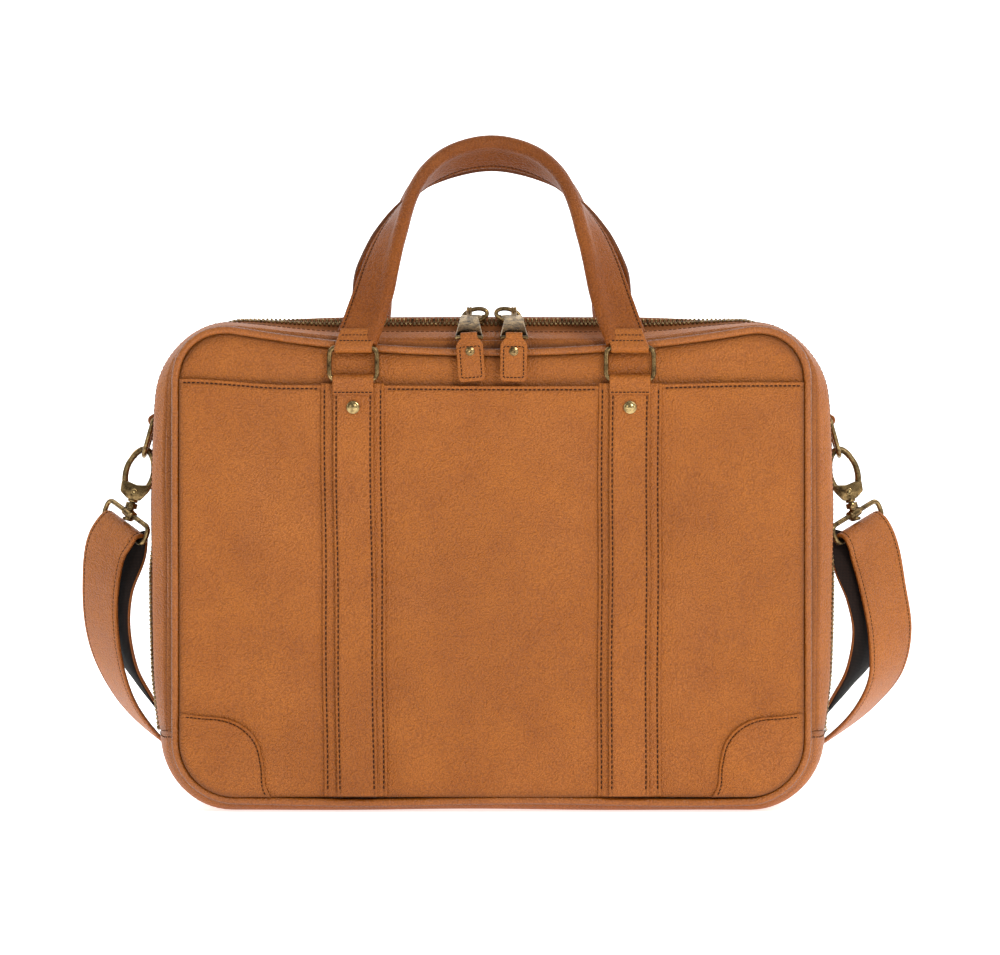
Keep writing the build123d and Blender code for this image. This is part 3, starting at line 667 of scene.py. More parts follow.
def relief(x, z):
    """How far the face stands out at a point: soft padding that rolls off at the seam."""
    d = np.maximum(face_edge(x, z), 0)
    ax = np.abs(x)
    valleys = -0.55 * (bell(ax, STRAP_X - 20, 5.0) + bell(ax, STRAP_X + 20, 5.0))
    puff = 1.1 * (1 - np.exp(-d / 26.0)) + 0.5 * np.cos(np.clip(x / 64.0, -1, 1) * math.pi / 2)
    slow = 0.38 * np.sin(x * 0.031 + 0.7) * np.sin(z * 0.026 + 1.1) + 0.25 * np.sin(x * 0.055 - z * 0.034)
    return -2.6 * np.exp(-d / 3.0) + valleys + puff + slow


def seam_shade(x, z):
    """Darker leather close to the piping."""
    return fading(face_edge(x, z) - PIPING_R - 0.4, 1.3)


def face_columns(inset):
    """Column positions across a face, closer together in the round corners and along the sides."""
    straight = PANEL_HALF - inset - 0.5
    r = CORNER_R - inset
    middle = np.linspace(0, straight - r, 60)[:-1]
    corner = straight - r + r * np.sin(np.linspace(0, math.pi / 2, 18))
    rim = straight + 0.46 * np.sin(np.linspace(0, math.pi / 2, 6))[1:]
    right = np.concatenate([middle, corner, rim])
    return np.concatenate([-right[:0:-1], right])


def panel_outline(inset=0.0):
    """Right half of the panel's outline, from the middle of the base to the middle of the top."""
    return np.concatenate(half_outline(PANEL_HALF - inset, 0.4, PANEL_LOW + inset, PANEL_CORNER_Z - inset,
                                       PANEL_MID_Z - inset, CORNER_R - inset, CORNER_R - inset))


def face_rows(inset, steps, top=None):
    """Column positions, and x and z of a face's grid, whose rows share out the height as steps says."""
    xs = face_columns(inset)
    run = panel_outline(inset)
    widest = int(np.argmax(run[:, 0]))
    bottom = np.interp(np.abs(xs), run[:widest + 1, 0], run[:widest + 1, 1])
    if top is None:
        upper = run[widest:][::-1]
        top = np.interp(np.abs(xs), upper[:, 0], upper[:, 1])
    z = bottom + steps[:, None] * (top - bottom)
    return np.broadcast_to(xs, z.shape), z


def face_point(x, z, depth, side):
    """A point on a face layer: depth is its distance from the bag's middle plane."""
    return np.stack([x, side * (depth + relief(x, z)), z], axis=-1)


def build_faces():
    """Front and back panels, the slip pocket, strips, handle straps, patches and rivets."""
    for side, name, body in HALVES:
        x, z = face_rows(PIPING_R + 0.1, border_steps(0, 1, 70, 0.008))
        grid = face_point(x, z, PANEL_Y - 0.7, side)
        # Painted shade: darker in the crease beside the piping and, on the front, a painted shadow in a band just
        # above the pocket's edge.
        near = seam_shade(x, z)
        if side < 0:
            grid[:, :, 1] += upper_folds(x, z)
            near = np.maximum(near, 0.55 * fading(z - POCKET_TOP, 2.0) * (z > POCKET_TOP - 3))
        sheet(f"{name}_leather", grid, 1.4, body, stands_for=(f"{name}_panel",), flip=side < 0, shade=near)
        outer_pieces(side, name, body)
    build_pocket()


def upper_folds(x, z):
    """The soft strip above the pocket: it sinks behind the pocket's edge and folds near the rings."""
    depth = 1.2 * bell(z, POCKET_TOP, 7.0)
    for cx, cz, lean, size in ((-52, 268, 0.10, 1.3), (-118, 272, -0.22, 1.1), (48, 269, -0.08, 1.0),
                               (120, 274, 0.2, 1.1), (-150, 262, 0.1, 0.7), (8, 262, 0.02, 0.8),
                               (155, 264, -0.1, 0.7)):
        depth = depth - size * bell(x, cx, 34.0) * bell(z - lean * (x - cx), cz, 3.4)
    return smooth(z, POCKET_TOP - 12, POCKET_TOP + 4) * depth


def pocket_line(x):
    """Height of the pocket's top edge, which dips a little in the middle of each span."""
    return (POCKET_TOP - 0.2 + 3.6 * smooth(-x, 120, 184) + 1.6 * smooth(x, 60, 160)
            - 0.8 * bell(x, 20, 90.0))


def pocket_gape(x, from_top):
    """How far the pocket's top edge stands off the panel."""
    return 0.9 * np.exp(-from_top / 9.0) * np.cos(np.clip(x / 175.0, -1, 1) * math.pi / 2)


def build_pocket():
    """Slip pocket over most of the front, with a turned and stitched top edge."""
    inset = PIPING_R + 0.2
    xs = face_columns(inset)
    top = pocket_line(xs)
    hem = 1 - np.array([4.2, 3.4, 2.9, 2.4, 1.9, 1.3, 0.7, 0.25, 0.0]) / 250
    x, z = face_rows(inset, np.concatenate([border_steps(0, 0.975, 70, 0.008)[:-2], hem]), top)
    grid = face_point(x, z, POCKET_Y - 0.85, -1)
    from_top = top - z
    grid[:, :, 1] -= pocket_gape(x, from_top)
    lift = 0.35 * bell(from_top, 0.6, 0.9) - 0.4 * bell(from_top, 2.6, 0.7)
    # Painted shade: darker beside the piping and in the stitch groove under the pocket's top edge.
    near = np.maximum(0.95 * seam_shade(x, z), 0.45 * bell(from_top, 2.6, 0.6))
    sheet("slip_pocket_leather", grid, 1.7, "front_lid", stands_for=("slip_pocket",), flip=True, lift=lift,
          shade=near)
    line_z = top - 2.4
    points = band_grid(xs, 0.1 - POCKET_Y - relief(xs, line_z) - pocket_gape(xs, 2.6), line_z)
    strip = 19.5
    for x0, x1 in ((-186, -STRAP_X - strip), (strip - STRAP_X, STRAP_X - strip), (STRAP_X + strip, 186)):
        keep = (xs > x0) & (xs < x1)
        stitch("front_lid", points[keep], np.tile([0, -1, 0], (keep.sum(), 1)), pitch=2.7, length=1.8, radius=0.45)


def strip_on_face(name, side, body, x_low, x_high, z1, width, depth, thick, stands_for, inset_stitch=2.2):
    """A straight leather strip sewn on a face from its base up, with a groove and stitches along both edges."""
    u = np.array([0, 0.25, 0.8, 1.4, 1.8, 2.2, 2.6, 3.2, 4.2]) - width / 2
    u = np.concatenate([u, np.linspace(-width / 2 + 5.5, width / 2 - 5.5, 9), -u[::-1]])
    z0 = PANEL_LOW + PIPING_R + 1.0
    across, z = np.meshgrid(u, border_steps(z0, z1, 90))
    x = x_low + (x_high - x_low) * (z - z0) / (z1 - z0) + 0.25 * np.sin(z * 0.05 + x_low) + across
    gap = width / 2 - np.abs(across)
    lift = -0.38 * bell(gap, inset_stitch, 0.55) + 0.12 * bell(gap, 0.9, 0.6)
    # Painted shade in the stitch grooves along both edges.
    _, outer, normal = sheet(name, face_point(x, z, depth - thick / 2, side), thick, body, stands_for=stands_for,
                             flip=side < 0, lift=lift, shade=0.5 * bell(gap, inset_stitch, 0.5))
    run = slice(3, -3)
    for sign in (-1, 1):
        column = int(np.argmin(np.abs(u - sign * (width / 2 - inset_stitch))))
        stitch(body, outer[run, column] + normal[run, column] * 0.12, normal[run, column], pitch=3.1,
               length=3.1 * 0.7, radius=0.46)


def outer_pieces(side, name, body):
    """Under strips, handle straps with their ring loops, patches and rivets of one face."""
    for sign, hand in HANDS:
        x = sign * STRAP_X
        first = hand == "left"
        lean = 2.4 if first else -0.8
        strip_on_face(f"under_strip_{name}_{hand}", side, body, x + lean * 0.6, x - lean * 0.2, POCKET_TOP + 0.6,
                      UNDER_STRIP_W, STRIP_Y + 0.1, 1.3, (f"under_strips_{name}",) * first)
        strip_on_face(f"handle_strap_band_{name}_{hand}", side, body, x + lean, x, RING_LOW_Z - 5.5,
                      HANDLE_STRAP_W, STRAP_Y + 0.7, 1.5, (f"handle_strap_{name}_{hand}",), inset_stitch=2.0)
        ring_loop(side, name, hand, body, x)
        rivet(f"rivet_{name}_{hand}", body, np.array([x, side * (STRAP_Y + 1.0 + relief(x, RIVET_Z)), RIVET_Z]),
              (0, side, 0), 4.0, (f"rivets_{name}",) * first)
    for sign, hand in HANDS:
        corner_patch(side, name, hand, sign, body)


def loop_path(centre_y, centre_z, side, outer_end, inner_end, up=1):
    """Route in the YZ plane round a ring's bar: up the outside, over, and down the inside."""
    radius = RING_WIRE + 1.05
    angle = np.linspace(0, math.pi, 14)
    arc = np.stack([centre_y + side * radius * np.cos(angle), centre_z + up * radius * np.sin(angle)], axis=1)
    start, end = np.array(outer_end), np.array(inner_end)
    start_run = start + (arc[0] - start) * smooth(np.linspace(0, 0.92, 8), 0, 1)[:, None]
    end_run = arc[-1] + (end - arc[-1]) * np.linspace(0.15, 1, 5)[:, None]
    return np.concatenate([start_run, arc, end_run])


def loop_columns(width):
    """Positions across a leather loop, close together at its edges."""
    lip = np.array([0, 0.25, 0.8, 1.6])
    return np.concatenate([lip, np.linspace(3, width - 3, 9), width - lip[::-1]]) - width / 2


def ring_loop(side, name, hand, body, x):
    """Leather loop round the ring's lower bar, wider than the bar's straight part, with a cross stitch."""
    outer_y = side * (STRAP_Y + 0.9 + relief(x, 250.0))
    y, z = loop_path(side * RING_Y, RING_LOW_Z, side, (outer_y, RING_LOW_Z - 9.0),
                     (side * (RING_Y - 2.5), RING_LOW_Z - 7.0)).T[:, :, None]
    width = HANDLE_STRAP_W + 0.4
    u = loop_columns(width)
    grid = band_grid(x + u, y + side * 0.35 * np.cos(u / width * math.pi), z)
    _, outer, normal = sheet(f"ring_loop_{name}_{hand}", grid, 1.7, body, flip=side < 0)
    stitch(body, outer[2, 2:-2] + normal[2, 2:-2] * 0.15, normal[2, 2:-2], pitch=2.3, length=1.8)


def corner_patch(side, name, hand, sign, body):
    """Corner patch with an ogee edge, a raised rim and one row of stitches."""
    inset = PIPING_R + 0.3
    left, base, r = PANEL_HALF - inset, PANEL_LOW + inset, CORNER_R - inset
    edge = np.array([(0, 50.5), (14, 48.8), (28, 47.4), (39, 42.6), (47, 33.5), (50.5, 20), (51.5, 8), (55, -0.5)])
    curve = catmull(edge * [-1, 1] + [left, base], 8)
    seam = [(left, z) for z in np.linspace(base + 50.5, base + CORNER_R, 8)[1:]]
    seam += [(left - r + r * math.cos(a), base + r - r * math.sin(a)) for a in np.linspace(0, math.pi / 2, 20)[1:]]
    seam += [(x, base) for x in np.linspace(left - r, left - 55, 10)[1:]]
    even = resample(seam, 1.0)[0]
    count = len(curve)
    at = np.linspace(0, len(even) - 1, count)
    seam = np.stack([np.interp(at, np.arange(len(even)), column) for column in even.T], axis=1)
    seam[[0, -1]] = curve[[0, -1]]
    steps = np.array([0, 0.3, 0.9, 1.5, 2.0, 2.5, 3.0, 3.6, 4.6])
    span = np.linalg.norm(curve - seam, axis=1)
    share = steps[:, None] / np.maximum(span, 1e-6)
    rim = np.minimum(share, 0.2 + 0.05 * np.arange(len(steps))[:, None])
    first = np.minimum(share[-1], 0.6)
    field = first + (1 - first) * (np.arange(1, 17) / 16)[:, None]
    flat = curve + (seam - curve) * np.concatenate([rim, field])[:, :, None]
    x, z = sign * flat[:, :, 0], flat[:, :, 1]
    grid = face_point(x, z, (POCKET_Y if side < 0 else PANEL_Y) + 0.75, side)
    fade = np.minimum(span / 25, 1)
    lift, near = np.zeros(x.shape), np.zeros(x.shape)
    lift[:9] = np.outer([0.1, 0.4, 0.7, 0.5, -0.1, -0.45, -0.15, 0, 0], fade)
    # Dark cut edge of the patch, painted shade in the stitch groove inside its rim, and painted shade beside the
    # piping.
    near[:9] = np.outer([0.7, 0.2, 0, 0, 0.3, 0.55, 0.3, 0, 0], fade)
    near = np.maximum(near, 0.9 * seam_shade(x, z))
    _, outer, _ = sheet(f"corner_patch_{name}_{hand}", grid, 1.1, body, round_cols=False, lift=lift, shade=near,
                        stands_for=(f"corner_patches_{name}",) * (hand == "left"),
                        flip=(normals_of(grid)[:, :, 1] * side).sum() < 0)
    stitch(body, outer[5, 3:-3] + [0, side * 0.15, 0], np.tile([0, side, 0], (count - 6, 1)), pitch=2.4,
           length=1.8)


# ---- gussets, piping and zip -----------------------------------------------------
def build_gussets():
    """Zip gusset halves, bottom gusset with its turned ends, and the lining inside them."""
    front_edge, back_edge = ZIP_Y - 7.0, ZIP_Y + 7.0
    seam = GUSSET_EDGE_Y + 1.2
    for name, seam_y, zip_y, body in (("front", -seam, front_edge, "front_lid"),
                                      ("back", seam, back_edge, "root")):
        grid = gusset_grid(*sorted((seam_y, zip_y)), "zip", 20)
        x, y, z = np.moveaxis(grid, 2, 0)
        n = outward(grid)
        from_seam, from_zip = np.abs(y - seam_y), np.abs(y - zip_y)
        lift = 1.8 * bell(from_seam, 5.6, 1.5) - 1.4 * bell(from_seam, 8.8, 1.2) - 0.35 * bell(from_zip, 2.6, 0.6)
        # Painted shade in the grooves beside the piping and beyond the seam roll.
        near = bell(from_seam, 2.4, 1.9) + bell(from_seam, 8.5, 1.2)
        rise = hidden_chain(grid) * bell(y, front_edge, 9.0) - 0.8
        if name == "front":
            fuller = np.where(x > 0, 2.6, 1.9)
            rise = rise + fuller * on_side(x, z, (38, 85), (235, 285)) * bell(y, front_edge - 3, 9.0)
        grid = grid + n * rise[:, :, None]
        _, outer, normal = sheet(f"gusset_{name}_leather", grid, 1.6, body, stands_for=(f"gusset_{name}",),
                                 flip=(normals_of(grid) * n).sum() < 0, lift=lift, shade=near)
        row = int(np.argmin(np.abs(from_zip[:, 0] - 2.6)))
        stitch(body, outer[row] + normal[row] * 0.1, normal[row], pitch=3.0, length=2.3)
    base = gusset_grid(-seam, seam, "base", 40)
    n = outward(base)
    base = base - n * 1.3
    gap = np.abs(seam - np.abs(base[:, :, 1]))
    # Painted shade in the grooves beside the piping and beyond the seam roll, along both seams.
    _, outer, normal = sheet("gusset_bottom_leather", base, 2.0, LID_EDGE, stands_for=("gusset_bottom",),
                             flip=(normals_of(base) * n).sum() < 0,
                             lift=1.4 * bell(gap, 5.2, 1.5) - 0.8 * bell(gap, 8.4, 1.2),
                             shade=0.95 * bell(gap, 2.2, 1.7) + 0.6 * bell(gap, 8.2, 1.0))
    run = slice(3, -3)
    for column, hand in ((1, "left"), (-2, "right")):
        thread = stitch_geometry(outer[run, column] + normal[run, column] * 0.1, normal[run, column], pitch=2.8,
                                 length=2.1)
        make_piece(f"gusset_end_stitches_{hand}", *thread, THREAD, LID_EDGE, "webbing")
    for name, y0, y1, body in (("front", -seam + 1.5, front_edge - 0.5, "front_lid"),
                               ("back", back_edge + 0.5, seam - 1.5, "root")):
        grid = gusset_grid(y0, y1, "zip", 12, inset=3.0, waves=False)
        sheet(f"gusset_lining_{name}_cloth", grid, 0.6, body, "lining", LINING, (f"gusset_lining_{name}",))


def seam_path(side):
    """Closed route of the piping, a little uneven as sewn cord is."""
    right = panel_outline()
    x, z = resample(np.concatenate([right, (right * [-1, 1])[-2:0:-1]]), 2.0)[0].T
    wobble = 0.35 * np.sin(x * 0.05 + 0.4) + 0.25 * np.sin(z * 0.06 + x * 0.03)
    sag = 1.3 * np.sin(x * 0.033 + 0.9) * smooth(60 - z, 30, 52)
    return band_grid(x, side * (SEAM_Y + wobble * 0.4), z + sag * 0.6)


def build_piping():
    for side, name, body in HALVES:
        path = seam_path(side)
        verts, faces = tube_geometry(path, PIPING_R - 0.05, closed=True, sides=24)
        lift = (verts.reshape(len(path), -1, 3) - path[:, None, :])[:, :, 1] * side / PIPING_R
        # Painted shade: the piping is darker on the flanks that turn towards the panel and the gusset, in the
        # creases.
        flank_painted_shade = 0.95 * (1 - smooth(lift, 0.15, 0.9))
        make_piece(f"{name}_piping_leather", verts, faces, PIPE_LEATHER, body, "leather", (f"{name}_piping",),
                   edge=flank_painted_shade.ravel())


def hidden_chain(points):
    """How far the leather in front rises over the teeth: 1 round the upper corners and sides."""
    return smooth(np.abs(points[..., 0]), 150, 174) * smooth(points[..., 2], 140, 190)


def chain_frame(offset):
    """Centres and axes of the zip's teeth along its run; offset shifts them by part of a pitch."""
    pitch = 2.6
    centre, tangent, _ = resample(gusset_points(ZIP_Y, "zip"), pitch)
    centre = centre + tangent * offset * pitch
    normal = tangent[:, ::-1] * [-1, 0, 1]
    normal = normal * np.sign(((centre - BAG_MIDDLE) * normal).sum(axis=1, keepdims=True))
    lower = on_side(centre[:, 0], centre[:, 2], (50, 85), (140, 185))
    centre = centre + normal * (1.7 * lower - 2.4 * hidden_chain(centre))[:, None]
    tilt = (ZIP_TILT * between_handles(centre[:, 0], centre[:, 2]))[:, None]
    forward = np.array([0, -1.0, 0]) * np.cos(tilt) - normal * np.sin(tilt)
    up = np.cross(tangent, forward)
    up *= np.sign((up * normal).sum(axis=1, keepdims=True))
    return centre, tangent, forward, up


def tooth_shape():
    """A cast metal tooth: a round clamp on the tape and a thin tip. Axes: along the chain, out from it, up."""
    rings = ((-1.05, 0.3, 0.35), (-0.9, 0.6, 0.8), (-0.45, 0.84, 1.2), (0.1, 0.9, 1.35), (0.55, 0.75, 1.1),
             (0.9, 0.42, 0.5), (1.9, 0.34, 0.3), (2.6, 0.5, 0.35), (3.0, 0.3, 0.25))
    return np.array([(math.cos(a) * w, u, math.sin(a) * h) for u, w, h in rings for a in turn(8)]), \
        loft_faces(len(rings), 8)


def build_zip():
    """Both tooth rows and the tapes they are clamped on."""
    shape, faces = tooth_shape()
    for side, name, body in HALVES:
        centre, tangent, forward, up = chain_frame(0.0 if side < 0 else 0.5)
        out = forward * -side
        parts = [(c + f * 2.5 + u * 0.5 + shape[:, :1] * t - shape[:, 1:2] * f + shape[:, 2:] * u, faces)
                 for c, t, f, u in zip(centre, tangent, out, up)]
        cast(f"zip_teeth_{name}_row", parts, body, (f"zip_teeth_{name}",))
        steps = (0.35, 0.7, 2.4, 3.4, 4.6, 6.0, 7.6)
        grid = np.stack([centre + out * s - up * (0.35 + 0.06 * s) for s in steps])
        grid[-1, :, 1] += side * 1.5
        sheet(f"zip_tape_{name}_cloth", grid, 0.7, body, "zip_tape", TAPE, (f"zip_tape_{name}",))


# ---- inside ---------------------------------------------------------------------
def flat_grid(node, rows, columns, lip):
    """Box of a flat CAD piece, and x and z over it with close steps at its edges."""
    low, high = mm_box(node)
    z, x = np.meshgrid(border_steps(low[2], high[2], rows, lip), border_steps(low[0], high[0], columns, lip),
                       indexing="ij")
    return low, high, x, z


def build_inside():
    """Quilted linings, divider and its strap, organiser pocket and base board."""
    for side, name, body in HALVES:
        x, z = face_rows(6.0, border_steps(0, 1, 60, 0.01))
        quilt = 0.35 * np.abs(np.sin(x * math.pi / 60)) * np.abs(np.sin(z * math.pi / 60))
        piece, _, _ = sheet(f"{name}_padded_lining", band_grid(x, side * (43.2 - quilt), z), 2.4, body, "lining",
                            LINING, (f"{name}_lining", f"{name}_padding"), flip=side > 0)
    low, high, x, z = flat_grid("laptop_divider", 50, 60, 1.6)
    channels = 0.3 * np.abs(np.sin((x - low[0]) * math.pi / 55)) ** 0.5
    piece, _, _ = sheet("divider_pad", band_grid(x, (low[1] + high[1]) / 2 - channels * 0.3, z), 3.0, "root",
                        "foam_fabric", LINING, ("laptop_divider",), lift=channels, flip=True)
    low, high, x, z = flat_grid("organiser_pocket", 30, 60, 1.0)
    tuck = 0.5 * bell(x, 0, 1.2) + 0.5 * bell(np.abs(x), 62, 1.2)
    sheet("organiser_cloth", band_grid(x, (low[1] + high[1]) / 2 - tuck * 0.3, z), 1.1, "front_lid", "lining",
          LINING, ("organiser_pocket",))
    low, high = mm_box("base_board")
    y, x = border_steps(low[1], high[1], 10, 0.8)[:, None], border_steps(low[0], high[0], 40, 0.8)
    sheet("base_board_cloth", band_grid(x, y, (low[2] + high[2]) / 2), 1.9, "root", "board", BOARD,
          ("base_board",))
    low, high = mm_box("divider_strap")
    over = high[2] - 0.5
    y, z = catmull(np.array([(low[1] + 0.7, low[2]), (low[1] + 0.7, high[2] - 4), (low[1] + 1.6, high[2] - 1.2),
                             (low[1] + 4, over), (high[1] - 4, over), (high[1], high[2] - 0.6)]), 6).T[:, :, None]
    sheet("divider_strap_webbing", band_grid(border_steps(low[0], high[0], 10, 0.8), y, z), 1.3, "root", "webbing",
          WEBBING, ("divider_strap",))


# ---- handles ----------------------------------------------------------------------
HANDLE_HALF = np.array([(-80.6, 284.5), (-78.4, 290.0), (-75.2, 299.0), (-70.3, 314.5), (-65.6, 332.0),
                        (-59.6, 349.5), (-51.0, 368.0), (-40.5, 382.0), (-28.0, 391.5), (-14.0, 396.8)])
HANDLE_TOP = (0.0, 398.6)
TURN_KNOTS = ((284, 0), (300, 3), (315, 14), (333, 32), (350, 48), (367, 72), (381, 92), (392, 108), (398.6, 117))
HANDLE_LEAN = math.radians(17.0)


def handle_profile():
    """Cross-section (u from the stitched edge to the ridge, v out): flat sewn leather, then a cord ridge."""
    upper = [(-12.5, 0.5), (-12.3, 1.25), (-11.7, 1.6), (-11.1, 1.5), (-10.7, 1.28), (-10.3, 1.2), (-9.9, 1.3),
             (-9.4, 1.6), (-8.0, 1.8), (-4.5, 1.95), (-1.0, 2.0), (1.4, 2.1), (3.0, 2.45), (4.4, 3.15), (5.8, 3.85),
             (7.4, 4.25), (9.0, 4.1), (10.5, 3.4), (11.8, 2.1), (12.5, 0.7)]
    return np.array(upper + [(u, -v) for u, v in reversed(upper)])


def handle_route(wider, drop):
    """Centre line of a handle in its own leaning plane, left foot to right foot."""
    x, z = catmull(np.concatenate([HANDLE_HALF, [HANDLE_TOP], (HANDLE_HALF * [-1, 1])[::-1]]), 9).T
    grow = 1 + wider * smooth(z, 296, 330) * (1 - smooth(z, 385, 398))
    return x * grow, z - drop * smooth(z, 320, 395)


def towards(vectors, direction):
    """Vectors turned round where they point away from a direction."""
    return vectors * np.sign((vectors * direction).sum(axis=1, keepdims=True))


def handle_y(z, side, out=0.0):
    """Depth of a leaning handle at a height, out from its centre line."""
    return side * (RING_Y + out - (z - RING_TOP_Z) * math.tan(HANDLE_LEAN))


def build_handle(side, name, wider, drop):
    """One padded handle, twisting from face-on legs to an arch that lies on its edge, with its end loops."""
    body = f"{name}_handle"
    x, z = handle_route(wider, drop)
    path = band_grid(x, handle_y(z, side), z)
    tangent = unit(np.gradient(path, axis=0))
    front = np.array([0, side * math.cos(HANDLE_LEAN), math.sin(HANDLE_LEAN)])
    inward = towards(unit(np.cross(tangent, front)), np.array([0, side * 25, 320.0]) - path)
    front_n = towards(np.cross(inward, tangent), front)
    twist = np.radians(np.interp(z, *np.transpose(TURN_KNOTS)))[:, None]
    across = np.cos(twist) * inward + np.sin(twist) * front_n
    face = np.cos(twist) * front_n - np.sin(twist) * inward
    profile = handle_profile()
    count, m = len(path), len(profile)
    from_end = np.minimum(np.arange(count), np.arange(count)[::-1])
    squeeze = 1 - 0.25 * np.exp(-from_end / 4.0)
    verts = (path[:, None, :] + across[:, None, :] * profile[:, :1]
             + face[:, None, :] * profile[:, 1:] * squeeze[:, None, None])
    # Painted shade over the arch and in the stitch grooves, and dark cut edges along both sides.
    darkening = np.repeat((0.04 + 0.3 * smooth(z, 345, 385))[:, None], m, axis=1)
    groove = 5
    darkening[:, [0, m - 1]] = 0.85
    darkening[:, [1, m - 2]] = 0.5
    darkening[:, [groove, m - 1 - groove]] += 0.25
    piece = make_piece(f"handle_{name}_leather", verts.reshape(-1, 3), loft_faces(count, m), HANDLE_LEATHER, body,
                       "leather", (f"handle_{name}",), edge=darkening.ravel())
    run = slice(3, -3)
    for column, sign in ((groove, 1), (m - 1 - groove, -1)):
        stitch(body, verts[run, column] + sign * face[run] * 0.12, face[run] * sign, pitch=2.5, length=1.9)
    for sign, hand in HANDS:
        handle_loop(side, name, hand, body, sign)


def handle_loop(side, name, hand, body, sign):
    """The handle's leather end, folded round the ring's upper bar, with two cross stitches."""
    width, top = 22.6, 290.5

    def middle(z):
        return sign * (STRAP_X - np.interp(z, [RING_TOP_Z, top], [0.0, 4.0]))

    y, z = loop_path(side * RING_Y, RING_TOP_Z, side, (handle_y(top, side, 2.5), top),
                     (handle_y(top, side, -2.4), top), up=-1).T[:, :, None]
    u = loop_columns(width)
    sheet(f"handle_loop_{name}_{hand}", band_grid(middle(z) + u, y + side * 0.3 * np.cos(u / width * math.pi), z),
          1.7, body, flip=side > 0)
    across = np.linspace(-width / 2 + 1.6, width / 2 - 1.6, 12)
    for z in (283.0, 286.4):
        stitch(body, band_grid(middle(z) + across, handle_y(z, side, 3.6), z), np.tile([0, side, 0], (12, 1)),
               pitch=2.2, length=1.7)


# ---- rings, sliders and pulls ---------------------------------------------------------
def build_rings():
    for side, name, _ in HALVES:
        parts = []
        for sign, _ in HANDS:
            path = ring_path(28.6, RING_TOP_Z - RING_LOW_Z, 4.0,
                             (sign * STRAP_X, side * RING_Y, (RING_LOW_Z + RING_TOP_Z) / 2), (1, 0, 0), (0, 0, 1))
            parts.append(tube_geometry(path, RING_WIRE + 0.08, closed=True, sides=16))
        cast(f"handle_ring_wires_{name}", parts, f"{name}_rings", (f"handle_rings_{name}",))


SLIDER_X = 13.5
BAIL_Y, BAIL_Z = ZIP_Y - 5.5, 301.9
PULL_Y, PULL_Z = -52.0, 285.0


def build_slider(sign, hand):
    """Slider body on the leaning zip, with its oval bail."""
    x, inner = sign * SLIDER_X, -sign
    up = np.array([0, -math.sin(ZIP_TILT), math.cos(ZIP_TILT)])
    fore = np.array([0, -math.cos(ZIP_TILT), -math.sin(ZIP_TILT)])
    middle = np.array([x, ZIP_Y, CREST_Z - 2.0])
    crown = rounded([(-7.0, -3.0), (-2.0, -4.9), (5.0, -4.3), (8.2, 0), (5.0, 4.3), (-2.0, 4.9), (-7.0, 3.0)], 2.2)
    crown[:, 0] = (crown[:, 0] + 2.6) * inner
    parts = [plate_geometry(crown, slab_profile(1.5, 0.6), middle + up * 2.3, (1, 0, 0), fore),
             plate_geometry(crown, slab_profile(1.2, 0.5), middle - up * 1.6, (1, 0, 0), fore),
             lathe([(1.2, -1.6), (1.2, 2.3)], middle + [inner * 5.0, 0, 0], up, 12)]
    angle, lean = turn(56), math.radians(13.0) * inner
    oval_x, oval_z = 7.3 * np.cos(angle), 3.7 * np.sin(angle)
    centre_x = x + inner * 3.6
    bail = band_grid(centre_x + oval_x * math.cos(lean) - oval_z * math.sin(lean), BAIL_Y,
                     BAIL_Z - 2.5 + oval_x * math.sin(lean) + oval_z * math.cos(lean))
    parts.append(tube_geometry(bail, 1.3, closed=True, sides=14))
    for end in (-1, 1):
        foot = np.array([centre_x + end * 5.0, BAIL_Y, BAIL_Z - 4.2 + end * inner * 1.2])
        parts.append(tube_geometry([foot, foot + [0, 2.0, -1.0],
                                    middle + up * 2.2 + [inner * 3.0 + end * 4.4, -1.0, 0]],
                                   [1.15, 1.3, 1.2], sides=12))
    cast(f"zip_slider_cast_{hand}", parts, f"slider_{hand}", (f"zip_slider_{hand}",), sharp=40)


def build_puller(sign, hand):
    """Cast pull: plain framed plate that widens to two horns, a bar between them and an eye on the bail."""
    axis = np.array([sign * SLIDER_X, BAIL_Y, BAIL_Z])
    end = np.array([sign * SLIDER_X, PULL_Y, PULL_Z])
    length = np.linalg.norm(end - axis)
    down = (end - axis) / length
    across = np.array([1.0, 0, 0])
    face = np.cross(down, across)
    flip = np.sign(face[2])
    arch = [(7.0 * math.cos(a), length - 1.2 - 8.2 * math.sin(a)) for a in np.linspace(0.15, math.pi - 0.15, 12)]
    horn = [(6.0, 16), (8.6, length + 0.9), (7.0, length + 1.3)]
    outline = rounded([(-5.0, 7.6), (5.0, 7.6), *horn, *arch, *[(-u, v) for u, v in reversed(horn)]], 1.2, 4)
    profile = [(0.7, -0.9), (0.15, -0.7), (0, -0.3), (0, 0.6), (0.25, 1.05), (0.7, 1.15), (1.15, 1.0), (1.5, 0.4)]
    bar = [end + across * u for u in (-7.6, -3, 3, 7.6)]
    parts = [plate_geometry(outline, [(i, h * flip) for i, h in profile], axis, across, down),
             tube_geometry(bar, 1.05, sides=12)]
    out = face * flip
    eye = [axis + (out * math.cos(a) - down * math.sin(a)) * 1.75
           for a in np.linspace(-0.2 * math.pi, 1.3 * math.pi, 18)]
    hook = np.array([axis + down * 8.4 + out * 0.2, axis + down * 4.6 + out * 0.2] + eye)
    parts += [tube_geometry(hook + across * offset, 0.9, sides=10) for offset in (-0.8, 0.8)]
    cast(f"zip_pull_cast_{hand}", parts, f"puller_{hand}", (f"zip_puller_{hand}",), sharp=40)


